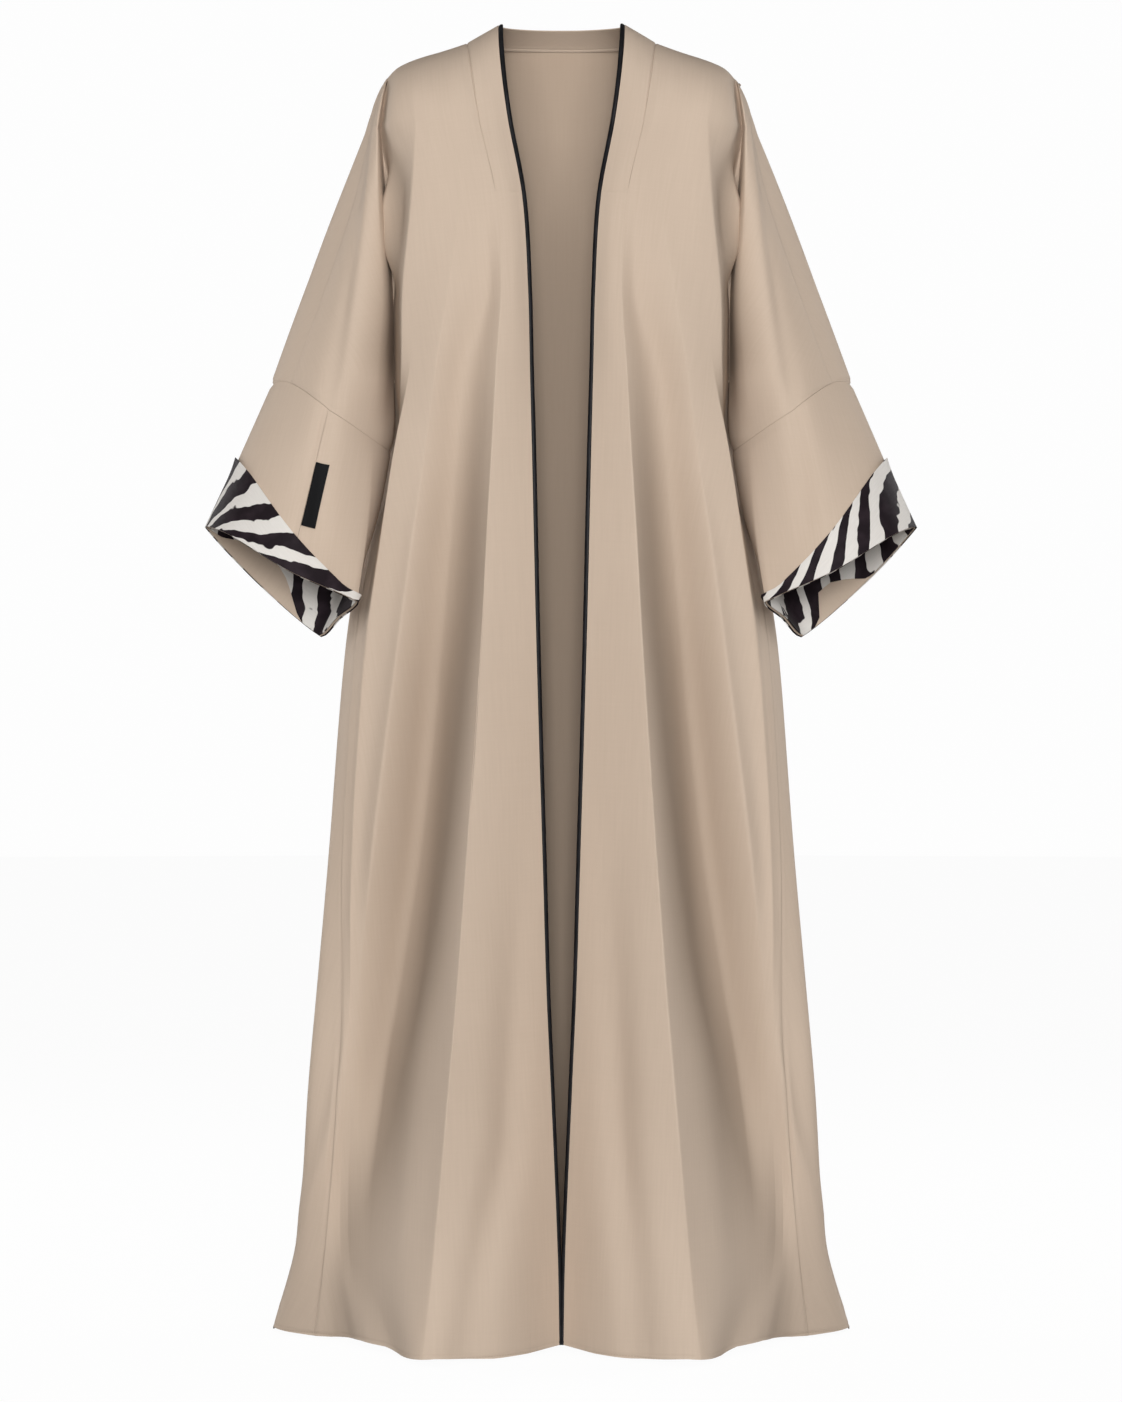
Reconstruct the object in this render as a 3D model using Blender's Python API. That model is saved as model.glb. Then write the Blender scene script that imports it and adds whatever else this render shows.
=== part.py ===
"""Open abaya cloak with kimono-cut sleeves, as worn, standing open round its own hollow.

Metres, +Z up, the front faces -Y.  The origin is on the middle plane at the height where the
neck points rest on the wearer's shoulders.  The whole cloak is worked out as one skin from the
tables below, then cut into the pieces that are sewn together, and each piece gets its wall.
"""

import math
from typing import NamedTuple

import bpy
from mathutils import Vector

# ---------------------------------------------------------------- driving dimensions

CLOTH = 0.0020              # wall of the crepe
SEAM_GAP = 0.0003           # between pieces that are sewn together
NECK_HALF_WIDTH = 0.0690    # from the middle to the edge of the neck opening, at the shoulder
NECK_DEPTH = 0.0680         # from the shoulder line back to the middle of the neck edge
NECK_RISE = 0.0055          # the middle of the back neck stands this much above the neck points
BAND_HALF_WIDTH = 0.1035    # from the middle to the band seam, at the shoulder
BAND_DEPTH = 0.0940         # from the shoulder line back to the band seam
BAND_SHOULDER_DROP = 0.0205
BAND_BACK_DROP = 0.0125
YOKE_FOOT = -0.12           # height where the shoulders' rounding ends
BAND_END = -0.195           # height where the band seam runs out in the main fold
UNDERARM = -0.385
HEM = -1.43

PIPING_HALF_WIDTH = 0.0026
PIPING_HALF_DEPTH = 0.0017
PIPING_SIDES = 8

CUFF_WALL = 0.0016
CUFF_WIDTH = 0.086          # turned-back width on the outer side of the wrist
CUFF_NARROW = 0.008         # turned-back width at the underarm
CUFF_ROWS = 4
FACING_DEPTH = 0.075
FACING_BARE = 0.030         # how far the facing's lower edge lies above the sleeve's end on the back
LOOSE_GAP = 0.0010          # between the sleeve and what lies loosely on it
LABEL_WIDTH = 0.014
LABEL_WALL = 0.0012
LABEL_SPAN = (0.33, 0.72)   # from the elbow seam (0) to the sleeve's end (1)


class Section(NamedTuple):
    """Where the lengthwise folds of one half cross one height, as (x, y)."""

    height: float
    edge: tuple
    belly: tuple
    main_fold: tuple
    trough: tuple
    crease: tuple
    outer_fold: tuple
    arm_fold: tuple
    hollow: tuple
    seam: tuple
    side: tuple
    corner: tuple
    neck_corner: tuple
    back_fold: tuple
    centre: tuple


SECTIONS = (
    Section(-0.12, (0.0566, -0.085), (0.0720, -0.091), (0.0878, -0.095), (0.098, -0.097), (0.115, -0.097),
            (0.140, -0.096), (0.159, -0.090), (0.176, -0.078), (0.197, -0.050),
            (0.180, 0.068), (0.160, 0.086), (0.094, 0.096), (0.050, 0.097), (0.0, 0.0975)),
    Section(-0.20, (0.0420, -0.105), (0.0560, -0.112), (0.0700, -0.115), (0.085, -0.115), (0.108, -0.116),
            (0.142, -0.111), (0.163, -0.104), (0.175, -0.082), (0.193, -0.045),
            (0.180, 0.070), (0.160, 0.094), (0.090, 0.106), (0.045, 0.109), (0.0, 0.107)),
    Section(-0.30, (0.0360, -0.120), (0.0525, -0.130), (0.0697, -0.135), (0.083, -0.127), (0.1206, -0.131),
            (0.1515, -0.118), (0.171, -0.098), (0.175, -0.070), (0.188, -0.022),
            (0.184, 0.060), (0.166, 0.096), (0.092, 0.113), (0.048, 0.118), (0.0, 0.112)),
    Section(-0.385, (0.0338, -0.125), (0.0530, -0.137), (0.0722, -0.145), (0.0850, -0.124), (0.132, -0.132),
            (0.1677, -0.115), (0.178, -0.090), (0.176, -0.055), (0.183, 0.000),
            (0.187, 0.050), (0.172, 0.096), (0.096, 0.113), (0.052, 0.124), (0.0, 0.115)),
    Section(-0.47, (0.0315, -0.130), (0.0535, -0.142), (0.0754, -0.150), (0.0890, -0.121), (0.1434, -0.130),
            (0.1814, -0.110), (0.177, -0.086), (0.167, -0.052), (0.172, 0.000),
            (0.189, 0.045), (0.178, 0.094), (0.100, 0.113), (0.056, 0.129), (0.0, 0.117)),
    Section(-0.56, (0.0293, -0.132), (0.0540, -0.145), (0.0790, -0.152), (0.0950, -0.116), (0.155, -0.128),
            (0.1946, -0.109), (0.190, -0.088), (0.180, -0.055), (0.190, -0.005),
            (0.207, 0.042), (0.190, 0.094), (0.104, 0.114), (0.062, 0.134), (0.0, 0.118)),
    Section(-0.68, (0.0264, -0.130), (0.0555, -0.148), (0.0848, -0.157), (0.1035, -0.112), (0.170, -0.124),
            (0.2094, -0.103), (0.206, -0.086), (0.200, -0.062), (0.215, -0.018),
            (0.2352, 0.034), (0.212, 0.094), (0.110, 0.114), (0.070, 0.142), (0.0, 0.120)),
    Section(-0.90, (0.0200, -0.125), (0.0590, -0.153), (0.0990, -0.167), (0.1200, -0.106), (0.204, -0.114),
            (0.2276, -0.094), (0.225, -0.080), (0.221, -0.064), (0.234, -0.030),
            (0.2515, 0.035), (0.226, 0.105), (0.122, 0.114), (0.084, 0.154), (0.0, 0.123)),
    Section(-1.04, (0.0160, -0.120), (0.0620, -0.158), (0.1095, -0.175), (0.1360, -0.097), (0.2236, -0.088),
            (0.2265, -0.077), (0.227, -0.070), (0.2285, -0.063), (0.2345, -0.052),
            (0.2640, 0.030), (0.240, 0.112), (0.132, 0.113), (0.093, 0.162), (0.0, 0.125)),
    Section(-1.15, (0.0120, -0.115), (0.0640, -0.163), (0.1182, -0.182), (0.1530, -0.086), (0.219, -0.078),
            (0.2228, -0.073), (0.2250, -0.070), (0.2275, -0.067), (0.231, -0.063),
            (0.2740, 0.028), (0.250, 0.118), (0.141, 0.112), (0.101, 0.170), (0.0, 0.128)),
    Section(-1.33, (0.0062, -0.105), (0.0690, -0.186), (0.1350, -0.197), (0.1880, -0.062), (0.232, -0.068),
            (0.2400, -0.065), (0.2440, -0.061), (0.2500, -0.054), (0.257, -0.045),
            (0.2885, 0.022), (0.270, 0.124), (0.160, 0.110), (0.116, 0.186), (0.0, 0.134)),
    Section(-1.43, (0.0062, -0.095), (0.0710, -0.222), (0.1455, -0.216), (0.2120, -0.044), (0.232, -0.058),
            (0.2420, -0.058), (0.2500, -0.054), (0.2610, -0.045), (0.272, -0.032),
            (0.3180, 0.010), (0.292, 0.128), (0.176, 0.108), (0.128, 0.202), (0.0, 0.140)),
)


class ArmSection(NamedTuple):
    """Where the sleeve's lines cross one ring of the arm, as (x, y, z)."""

    inner_front: tuple
    front: tuple
    over: tuple
    ridge: tuple
    back: tuple
    inner_back: tuple
    under: tuple = None


# Level rings above the underarm, one for each of the first four heights of SECTIONS.
ARM_RINGS = (
    ArmSection((0.2000, -0.057, -0.12), (0.2040, -0.046, -0.12), (0.2085, -0.018, -0.12),
               (0.2155, 0.002, -0.12), (0.2070, 0.036, -0.12), (0.198, 0.048, -0.12), (0.190, 0.052, -0.12)),
    ArmSection((0.2030, -0.066, -0.20), (0.2180, -0.060, -0.20), (0.2340, -0.026, -0.20),
               (0.2475, 0.002, -0.20), (0.2270, 0.054, -0.20), (0.206, 0.056, -0.20), (0.188, 0.047, -0.20)),
    ArmSection((0.2030, -0.060, -0.30), (0.2300, -0.070, -0.30), (0.2690, -0.031, -0.30),
               (0.2845, 0.003, -0.30), (0.2450, 0.068, -0.30), (0.209, 0.058, -0.30), (0.186, 0.024, -0.30)),
    ArmSection((0.2000, -0.050, -0.385), (0.2400, -0.077, -0.385), (0.2990, -0.034, -0.385),
               (0.3145, 0.004, -0.385), (0.2550, 0.074, -0.385), (0.203, 0.046, -0.385)),
)
ELBOW = ArmSection((0.204, -0.060, -0.4553), (0.2531, -0.086, -0.4247), (0.2985, -0.038, -0.3935),
                   (0.3155, 0.000, -0.3940), (0.2620, 0.068, -0.4250), (0.209, 0.040, -0.4550),
                   (0.186, -0.010, -0.4670))
SLEEVE_END = ArmSection((0.2250, -0.100, -0.6290), (0.2890, -0.127, -0.6020), (0.3560, -0.098, -0.5680),
                        (0.3835, -0.050, -0.5520), (0.3300, 0.000, -0.6120), (0.262, -0.026, -0.6690),
                        (0.240, -0.062, -0.6500))


class Span(NamedTuple):
    """Cells between one named line and the next, and how crisp the next line is (0 soft, 1 crisp)."""

    line: str
    cells: int
    crisp: float


FRONT_SPANS = (
    Span("belly", 2, 0.0), Span("main_fold", 2, 0.9), Span("trough", 2, 0.2), Span("crease", 2, 0.7),
    Span("outer_fold", 2, 0.8), Span("arm_fold", 1, 0.3), Span("hollow", 1, 0.0), Span("seam", 2, 0.8),
)
BACK_SPANS = (
    Span("side", 2, 0.0), Span("corner", 3, 0.2), Span("neck_corner", 5, 0.0),
    Span("back_fold", 2, 0.2), Span("centre", 3, 0.0),
)
ARM_FRONT_SPANS = (Span("inner_front", 2, 0.0), Span("front", 2, 0.0), Span("over", 3, 0.0))
ARM_BACK_SPANS = (
    Span("ridge", 1, 0.0), Span("back", 3, 0.0), Span("inner_back", 2, 0.0), Span("under", 1, 0.8),
)

BAND_CELLS = 4
YOKE_ROWS = 4
BAND_ROWS = 2
CHEST_ROWS = 4
SKIRT_ROWS = 18
ELBOW_ROWS = 2
SLEEVE_ROWS = 5

# The shoulder seam from the band seam to the shoulder's tip, as (x, z).
SHOULDER_LINE = ((0.1035, -0.0205), (0.129, -0.0295), (0.163, -0.0410), (0.1816, -0.0505), (0.195, -0.0655))
# Share of the shoulder seam reached by each column, counted from the tip.
SHOULDER_SHARE = ((0, 0.0), (7, 0.10), (9, 0.24), (10, 0.38), (11, 0.52), (13, 0.72), (15, 0.90), (17, 1.0))

# ---------------------------------------------------------------- columns and rows of the skin


def columns_of(spans):
    """Number of cells in a run of spans."""
    return sum(span.cells for span in spans)


EDGE_COLUMN = 0
BAND_COLUMN = BAND_CELLS
SEAM_COLUMN = columns_of(FRONT_SPANS)
LABEL_COLUMN = SEAM_COLUMN + ARM_FRONT_SPANS[0].cells + ARM_FRONT_SPANS[1].cells
OVER_COLUMN = SEAM_COLUMN + columns_of(ARM_FRONT_SPANS)
BACK_SEAM_COLUMN = OVER_COLUMN + columns_of(ARM_BACK_SPANS)
NECK_COLUMN = 2 * OVER_COLUMN - BAND_COLUMN
CENTRE_COLUMN = BACK_SEAM_COLUMN + columns_of(BACK_SPANS)
NECK_CELLS = CENTRE_COLUMN - NECK_COLUMN

BAND_END_ROW = YOKE_ROWS + BAND_ROWS
UNDERARM_ROW = BAND_END_ROW + CHEST_ROWS
HEM_ROW = UNDERARM_ROW + SKIRT_ROWS
ELBOW_ROW = UNDERARM_ROW + ELBOW_ROWS
SLEEVE_END_ROW = ELBOW_ROW + SLEEVE_ROWS


def hermite(start, end, leave, arrive, t):
    """Point at t (0 to 1) on the cubic from start to end with the given end tangents."""
    t2 = t * t
    t3 = t2 * t
    return (start * (2 * t3 - 3 * t2 + 1) + leave * (t3 - 2 * t2 + t)
            + end * (3 * t2 - 2 * t3) + arrive * (t3 - t2))


def through(knots, values, at):
    """Smooth value at one place between knots, which run downwards."""
    last = len(knots) - 1
    i = 0
    while i < last - 1 and at < knots[i + 1]:
        i += 1

    def slope(k):
        low, high = max(k - 1, 0), min(k + 1, last)
        return (values[high] - values[low]) / (knots[high] - knots[low])

    length = knots[i + 1] - knots[i]
    t = (at - knots[i]) / length
    return hermite(values[i], values[i + 1], slope(i) * length, slope(i + 1) * length, t)


def thread(stations, cells, crisps, closed=False, mirrored_end=False):
    """Points along a chain of stations: cells[i] steps to the next one, tangents broken where crisp."""
    count = len(stations)
    points = [stations[0].copy()]

    def tangent(k, forward):
        here = stations[k]
        after = stations[(k + 1) % count] if closed or k + 1 < count else None
        before = stations[k - 1] if closed or k > 0 else None
        if after is None and mirrored_end:
            after = Vector((-before.x, *before[1:]))
        if after is None or before is None:
            return (after - here) if before is None else (here - before)
        ahead, behind = (after - here).length, (here - before).length
        share = (ahead if forward else behind) / (ahead + behind)
        one_sided = (after - here) if forward else (here - before)
        return (after - before) * share * (1 - crisps[k]) + one_sided * crisps[k]

    for i, steps in enumerate(cells):
        k = (i + 1) % count
        leave, arrive = tangent(i, True), tangent(k, False)
        for step in range(1, steps + 1):
            points.append(hermite(stations[i], stations[k], leave, arrive, step / steps))
    return points


def crossing(height, line):
    """Where a named line of the body crosses a height."""
    heights = [section.height for section in SECTIONS]
    places = [Vector((*getattr(section, line), section.height)) for section in SECTIONS]
    place = through(heights, places, height)
    return Vector((place.x, place.y, height))


def arm_crossing(height, line):
    """Where a named line of the sleeve crosses a height above the underarm."""
    if line == "under" and height <= UNDERARM:
        return crossing(UNDERARM, "seam")
    places = [getattr(ring, line) or (*SECTIONS[3].seam, UNDERARM) for ring in ARM_RINGS]
    heights = [place[2] for place in places]
    place = through(heights, [Vector(place) for place in places], height)
    return Vector((place.x, place.y, height))


def body_chain(spans, height):
    return [crossing(height, span.line) for span in spans]


def arm_chain(spans, height):
    return [arm_crossing(height, span.line) for span in spans]


def upper_ring(height):
    """Every column of one level ring above the underarm, from the front edge to the middle of the back."""
    spans = FRONT_SPANS + ARM_FRONT_SPANS + ARM_BACK_SPANS + BACK_SPANS
    stations = [crossing(height, "edge")] + body_chain(FRONT_SPANS, height)
    stations += arm_chain(ARM_FRONT_SPANS + ARM_BACK_SPANS, height) + body_chain(BACK_SPANS, height)
    cells = [span.cells for span in spans]
    return thread(stations, cells, [0.0] + [span.crisp for span in spans], mirrored_end=True)


def skirt_ring(height):
    """The body's columns of one ring below the underarm, keyed by column."""
    spans = FRONT_SPANS + BACK_SPANS
    stations = [crossing(height, "edge")] + body_chain(spans, height)
    crisps = [0.0] + [span.crisp for span in spans]
    crisps[len(FRONT_SPANS)] = 0.0
    points = thread(stations, [span.cells for span in spans], crisps, mirrored_end=True)
    columns = list(range(SEAM_COLUMN + 1)) + list(range(BACK_SEAM_COLUMN + 1, CENTRE_COLUMN + 1))
    return dict(zip(columns, points))


def arm_loop(ring):
    """The sleeve's columns round one ring of the arm, from the underarm seam and back to it."""
    spans = ARM_FRONT_SPANS + ARM_BACK_SPANS
    stations = [Vector(ring.under)] + [Vector(getattr(ring, span.line)) for span in spans[:-1]]
    return thread(stations, [span.cells for span in spans], [0.0] * len(stations), closed=True)


def shoulder_point(share):
    """Point on the shoulder seam: 0 at the tip, 1 at the band seam."""
    line = [Vector((x, 0.0, z)) for x, z in reversed(SHOULDER_LINE)]
    lengths = [(b - a).length for a, b in zip(line, line[1:])]
    left = share * sum(lengths)
    for start, end, length in zip(line, line[1:], lengths):
        if left <= length:
            return start.lerp(end, left / length)
        left -= length
    return line[-1]


def shoulder_share(steps):
    """Share of the shoulder seam reached this many columns from the tip."""
    for (near, low), (far, high) in zip(SHOULDER_SHARE, SHOULDER_SHARE[1:]):
        if steps <= far:
            return low + (high - low) * (steps - near) / (far - near)
    return 1.0


def neck_point(across, turn):
    """Point of the neckband: across from the neck edge (0) to its seam (1), turn from shoulder to back."""
    angle = turn * math.pi / 2
    inner = Vector((NECK_HALF_WIDTH * math.cos(angle), NECK_DEPTH * math.sin(angle),
                    NECK_RISE * math.sin(angle)))
    drop = BAND_SHOULDER_DROP + (BAND_BACK_DROP - BAND_SHOULDER_DROP) * math.sin(angle)
    outer = Vector((BAND_HALF_WIDTH * math.cos(angle), BAND_DEPTH * math.sin(angle), -drop))
    return inner.lerp(outer, across)


def top_point(column):
    """Where a column starts: on the shoulder's ridge or on the back neck seam."""
    if column <= BAND_COLUMN:
        return neck_point(column / BAND_CELLS, 0.0)
    if column <= NECK_COLUMN:
        return shoulder_point(shoulder_share(abs(OVER_COLUMN - column)))
    return neck_point(1.0, (column - NECK_COLUMN) / NECK_CELLS)


def yoke_point(column, foot, turn):
    """Point on the shoulder's rounding, from its ridge (0) to its foot (1)."""
    top = top_point(column)
    angle = turn * math.pi / 2
    fall = 1 - math.cos(angle)
    hold = 1.0 + 0.6 * max(0.0, 1 - column / BAND_CELLS)
    return Vector((top.x + (foot.x - top.x) * fall ** hold,
                   top.y + (foot.y - top.y) * math.sin(angle),
                   top.z + (foot.z - top.z) * fall))


def row_height(row):
    """Height of a level row, from the foot of the yoke down to the hem."""
    stops = ((YOKE_ROWS, YOKE_FOOT), (BAND_END_ROW, BAND_END), (UNDERARM_ROW, UNDERARM), (HEM_ROW, HEM))
    for (first, top), (last, bottom) in zip(stops, stops[1:]):
        if row <= last:
            return top + (bottom - top) * (row - first) / (last - first)
    return HEM


def sleeve_columns():
    """Rings of the arm that steer the sleeve below the underarm, and the rows they lie on."""
    above = upper_ring(-0.30)[SEAM_COLUMN:BACK_SEAM_COLUMN + 1]
    level = upper_ring(UNDERARM)[SEAM_COLUMN:BACK_SEAM_COLUMN + 1]
    return above, level, arm_loop(ELBOW), arm_loop(SLEEVE_END)


def sleeve_point(rings, column, row):
    """Point of the sleeve at one column and a row (whole or not) from the underarm to the end."""
    above, level, elbow, end = (ring[column - SEAM_COLUMN] for ring in rings)
    if row >= ELBOW_ROW:
        return elbow.lerp(end, (row - ELBOW_ROW) / SLEEVE_ROWS)
    leave = (elbow - above) * (elbow - level).length / ((elbow - level).length + (level - above).length)
    if column in (SEAM_COLUMN, BACK_SEAM_COLUMN):
        leave = elbow - level
    arrive = (end - elbow).normalized() * (elbow - level).length
    return hermite(level, elbow, leave, arrive, (row - UNDERARM_ROW) / ELBOW_ROWS)


# ---------------------------------------------------------------- the skin


class Skin:
    """All of the cloak's outer face: shared points, and triangles sorted by the piece they belong to."""

    def __init__(self):
        self.points = []
        self.index = {}
        self.pieces = {}
        self.normals = []

    def point(self, key, place):
        if key not in self.index:
            self.index[key] = len(self.points)
            self.points.append(place)
        return self.index[key]

    def cell(self, piece, a, b, c, d):
        """Add a four-sided cell as two triangles, split along its shorter diagonal."""
        p = self.points
        if (p[a] - p[c]).length <= (p[b] - p[d]).length:
            halves = ((a, b, c), (a, c, d))
        else:
            halves = ((a, b, d), (b, c, d))
        triangles = [half for half in halves if len(set(half)) == 3]
        self.pieces.setdefault(piece, []).extend(triangles)

    def finish(self):
        """Work out one normal for each point from every triangle that meets there."""
        self.normals = [Vector((0, 0, 0)) for _ in self.points]
        for triangles in self.pieces.values():
            for triangle in triangles:
                corners = [self.points[i] for i in triangle]
                face = (corners[1] - corners[0]).cross(corners[2] - corners[0])
                for i in range(3):
                    before, after = corners[i - 1] - corners[i], corners[(i + 1) % 3] - corners[i]
                    self.normals[triangle[i]] += face.normalized() * before.angle(after)
        for normal in self.normals:
            normal.normalize()


def side_name(side):
    return "left" if side > 0 else "right"


def body_key(side, row, column):
    """Key of a point, so that lines that meet share their points."""
    if row == 0 and OVER_COLUMN < column <= NECK_COLUMN:
        column = 2 * OVER_COLUMN - column
    if row >= UNDERARM_ROW and column == BACK_SEAM_COLUMN:
        column = SEAM_COLUMN
    return (0 if column == CENTRE_COLUMN else side, "body", row, column)


def arm_key(side, row, column):
    if row == UNDERARM_ROW:
        return body_key(side, row, column)
    return (side, "arm", row, SEAM_COLUMN if column == BACK_SEAM_COLUMN else column)


def neck_key(side, across, column):
    if column == NECK_COLUMN:
        return body_key(side, 0, across)
    if across == BAND_CELLS:
        return body_key(side, 0, column)
    return (0 if column == CENTRE_COLUMN else side, "neck", across, column)


def sided(place, side):
    return Vector((place.x * side, place.y, place.z)) if side else place


def add_cells(skin, side, key, rows, columns, piece_of):
    for row in rows:
        for column in columns:
            corners = [key(side, row, column), key(side, row + 1, column),
                       key(side, row + 1, column + 1), key(side, row, column + 1)]
            order = corners if side > 0 else corners[::-1]
            skin.cell(piece_of(side, row, column), *(skin.index[corner] for corner in order))


def body_piece(side, row, column):
    if row < BAND_END_ROW and column < BAND_COLUMN:
        return "front_band_" + side_name(side)
    return "front_" + side_name(side) if column < OVER_COLUMN else "back"


def arm_piece(side, row, column):
    if row < ELBOW_ROW:
        return body_piece(side, row, column)
    if side > 0:
        return "lower_sleeve_left"
    return "lower_sleeve_right_front" if column < LABEL_COLUMN else "lower_sleeve_right_back"


def add_upper_body(skin, side):
    foot = upper_ring(YOKE_FOOT)
    for row in range(UNDERARM_ROW + 1):
        ring = foot if row <= YOKE_ROWS else upper_ring(row_height(row))
        for column in range(CENTRE_COLUMN + 1):
            place = yoke_point(column, foot[column], row / YOKE_ROWS) if row < YOKE_ROWS else ring[column]
            skin.point(body_key(side, row, column), sided(place, side))
    add_cells(skin, side, body_key, range(UNDERARM_ROW), range(CENTRE_COLUMN), body_piece)


def add_skirt(skin, side):
    for row in range(UNDERARM_ROW + 1, HEM_ROW + 1):
        for column, place in skirt_ring(row_height(row)).items():
            skin.point(body_key(side, row, column), sided(place, side))
    columns = list(range(SEAM_COLUMN)) + list(range(BACK_SEAM_COLUMN, CENTRE_COLUMN))
    add_cells(skin, side, body_key, range(UNDERARM_ROW, HEM_ROW), columns, body_piece)


def add_sleeve(skin, side):
    rings = sleeve_columns()
    for row in range(UNDERARM_ROW + 1, SLEEVE_END_ROW + 1):
        for column in range(SEAM_COLUMN, BACK_SEAM_COLUMN):
            skin.point(arm_key(side, row, column), sided(sleeve_point(rings, column, row), side))
    rows = range(UNDERARM_ROW, SLEEVE_END_ROW)
    add_cells(skin, side, arm_key, rows, range(SEAM_COLUMN, BACK_SEAM_COLUMN), arm_piece)


def add_neckband(skin, side):
    for column in range(NECK_COLUMN, CENTRE_COLUMN + 1):
        for across in range(BAND_CELLS + 1):
            place = neck_point(across / BAND_CELLS, (column - NECK_COLUMN) / NECK_CELLS)
            skin.point(neck_key(side, across, column), sided(place, side))
    add_cells(skin, side, neck_key, range(BAND_CELLS), range(NECK_COLUMN, CENTRE_COLUMN),
              lambda *_: "neckband")


def build_skin():
    skin = Skin()
    for side in (1, -1):
        add_upper_body(skin, side)
        add_skirt(skin, side)
        add_sleeve(skin, side)
        add_neckband(skin, side)
    skin.finish()
    return skin


# ---------------------------------------------------------------- walls


def border_edges(triangles):
    """Edges that only one triangle of the piece has, in that triangle's direction."""
    edges = {}
    for triangle in triangles:
        for i in range(3):
            edge = (triangle[i], triangle[(i + 1) % 3])
            edges[edge] = triangle
    return {edge: triangle for edge, triangle in edges.items() if (edge[1], edge[0]) not in edges}


def inward_shifts(skin, triangles):
    """How far each border point moves into its piece, along the cloth, to leave half a seam gap."""
    inward = {}
    for (start, end), triangle in border_edges(triangles).items():
        a, b, c = (skin.points[i] for i in triangle)
        face = (b - a).cross(c - a).normalized()
        across = face.cross((skin.points[end] - skin.points[start]).normalized())
        for i in (start, end):
            inward.setdefault(i, []).append(across)
    shifts = {}
    for i, directions in inward.items():
        level = [(d - skin.normals[i] * d.dot(skin.normals[i])).normalized() for d in directions]
        total = sum(level, Vector((0, 0, 0)))
        overlap = 1 + level[0].dot(level[-1]) if len(level) > 1 else 1
        shifts[i] = total * (SEAM_GAP / 2) / max(overlap, 0.35)
    return shifts


def solid(name, vertices, faces, material, collection):
    """Make one closed object from its corners and outward faces."""
    mesh = bpy.data.meshes.new(name)
    mesh.from_pydata(vertices, [], faces)
    mesh.materials.append(material)
    mesh.shade_smooth()
    mesh.set_sharp_from_angle(angle=math.radians(50))
    thing = bpy.data.objects.new(name, mesh)
    collection.objects.link(thing)
    return thing


def wall_between(name, outer, inner, triangles, material, collection):
    """Close two facing copies of a triangle sheet into one wall."""
    used = sorted({i for triangle in triangles for i in triangle})
    place = {i: k for k, i in enumerate(used)}
    count = len(used)
    vertices = [outer(i) for i in used] + [inner(i) for i in used]
    faces = [tuple(place[i] for i in triangle) for triangle in triangles]
    faces += [tuple(place[i] + count for i in reversed(triangle)) for triangle in triangles]
    for start, end in border_edges(triangles):
        a, b = place[start], place[end]
        if start < end:
            faces += [(b, a, b + count), (a, a + count, b + count)]
        else:
            faces += [(b, a, a + count), (b, a + count, b + count)]
    return solid(name, vertices, faces, material, collection)


def cloth_piece(skin, name, material, collection):
    """One sewn piece: its triangles of the skin, parted from its neighbours and given a wall."""
    triangles = skin.pieces[name]
    shifts = inward_shifts(skin, triangles)
    still = Vector((0, 0, 0))

    def outer(i):
        return skin.points[i] + shifts.get(i, still)

    return wall_between(name, outer, lambda i: outer(i) - skin.normals[i] * CLOTH,
                        triangles, material, collection)


# ---------------------------------------------------------------- trims


def piping(skin, side, material, collection):
    """Satin piping along one front edge, from the neck point to the hem."""
    name = "piping_" + side_name(side)
    rings = []
    for row in range(HEM_ROW + 1):
        edge = skin.index[body_key(side, row, EDGE_COLUMN)]
        inside = skin.points[skin.index[body_key(side, row, 1)]]
        here, normal = skin.points[edge], skin.normals[edge]
        away = here - inside
        along = skin.points[skin.index[body_key(side, min(row + 1, HEM_ROW), EDGE_COLUMN)]] \
            - skin.points[skin.index[body_key(side, max(row - 1, 0), EDGE_COLUMN)]]
        away = away - normal * away.dot(normal)
        away = (away - along * away.dot(along) / along.length_squared).normalized()
        centre = here - normal * (CLOTH / 2) + away * (SEAM_GAP / 2 + PIPING_HALF_WIDTH)
        turns = [2 * math.pi * k / PIPING_SIDES for k in range(PIPING_SIDES)]
        rings.append([centre + away * PIPING_HALF_WIDTH * math.cos(turn)
                      + normal * PIPING_HALF_DEPTH * math.sin(turn) for turn in turns])
    vertices = [corner for ring in rings for corner in ring]
    faces = []
    for row in range(HEM_ROW):
        for k in range(PIPING_SIDES):
            first, after = row * PIPING_SIDES + k, row * PIPING_SIDES + (k + 1) % PIPING_SIDES
            faces.append((first, after, after + PIPING_SIDES, first + PIPING_SIDES))
    faces.append(tuple(reversed(range(PIPING_SIDES))))
    faces.append(tuple(range(HEM_ROW * PIPING_SIDES, (HEM_ROW + 1) * PIPING_SIDES)))
    if side > 0:
        faces = [face[::-1] for face in faces]
    return solid(name, vertices, faces, material, collection)


def sleeve_sheet(side, columns, row_of, rows):
    """A small skin on the lower sleeve: row_of(column, share) gives the sleeve row at each share."""
    rings = sleeve_columns()
    sheet = Skin()
    closed = len(columns) == BACK_SEAM_COLUMN - SEAM_COLUMN + 1
    for column in columns:
        shared = SEAM_COLUMN if closed and column == BACK_SEAM_COLUMN else column
        for row in range(rows + 1):
            place = sleeve_point(rings, column, row_of(column, row / rows))
            sheet.point((side, row, shared), sided(place, side))

    def key(_, row, column):
        return (side, row, SEAM_COLUMN if closed and column == BACK_SEAM_COLUMN else column)

    add_cells(sheet, side, key, range(rows), columns[:-1], lambda *_: "sheet")
    sheet.finish()
    return sheet


def cuff_share(rings, column):
    """How far across the mouth a column lies: 0 at the underarm, 1 on the outer side."""
    end = rings[-1]
    xs = [place.x for place in end]
    return (end[column - SEAM_COLUMN].x - min(xs)) / (max(xs) - min(xs))


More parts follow.
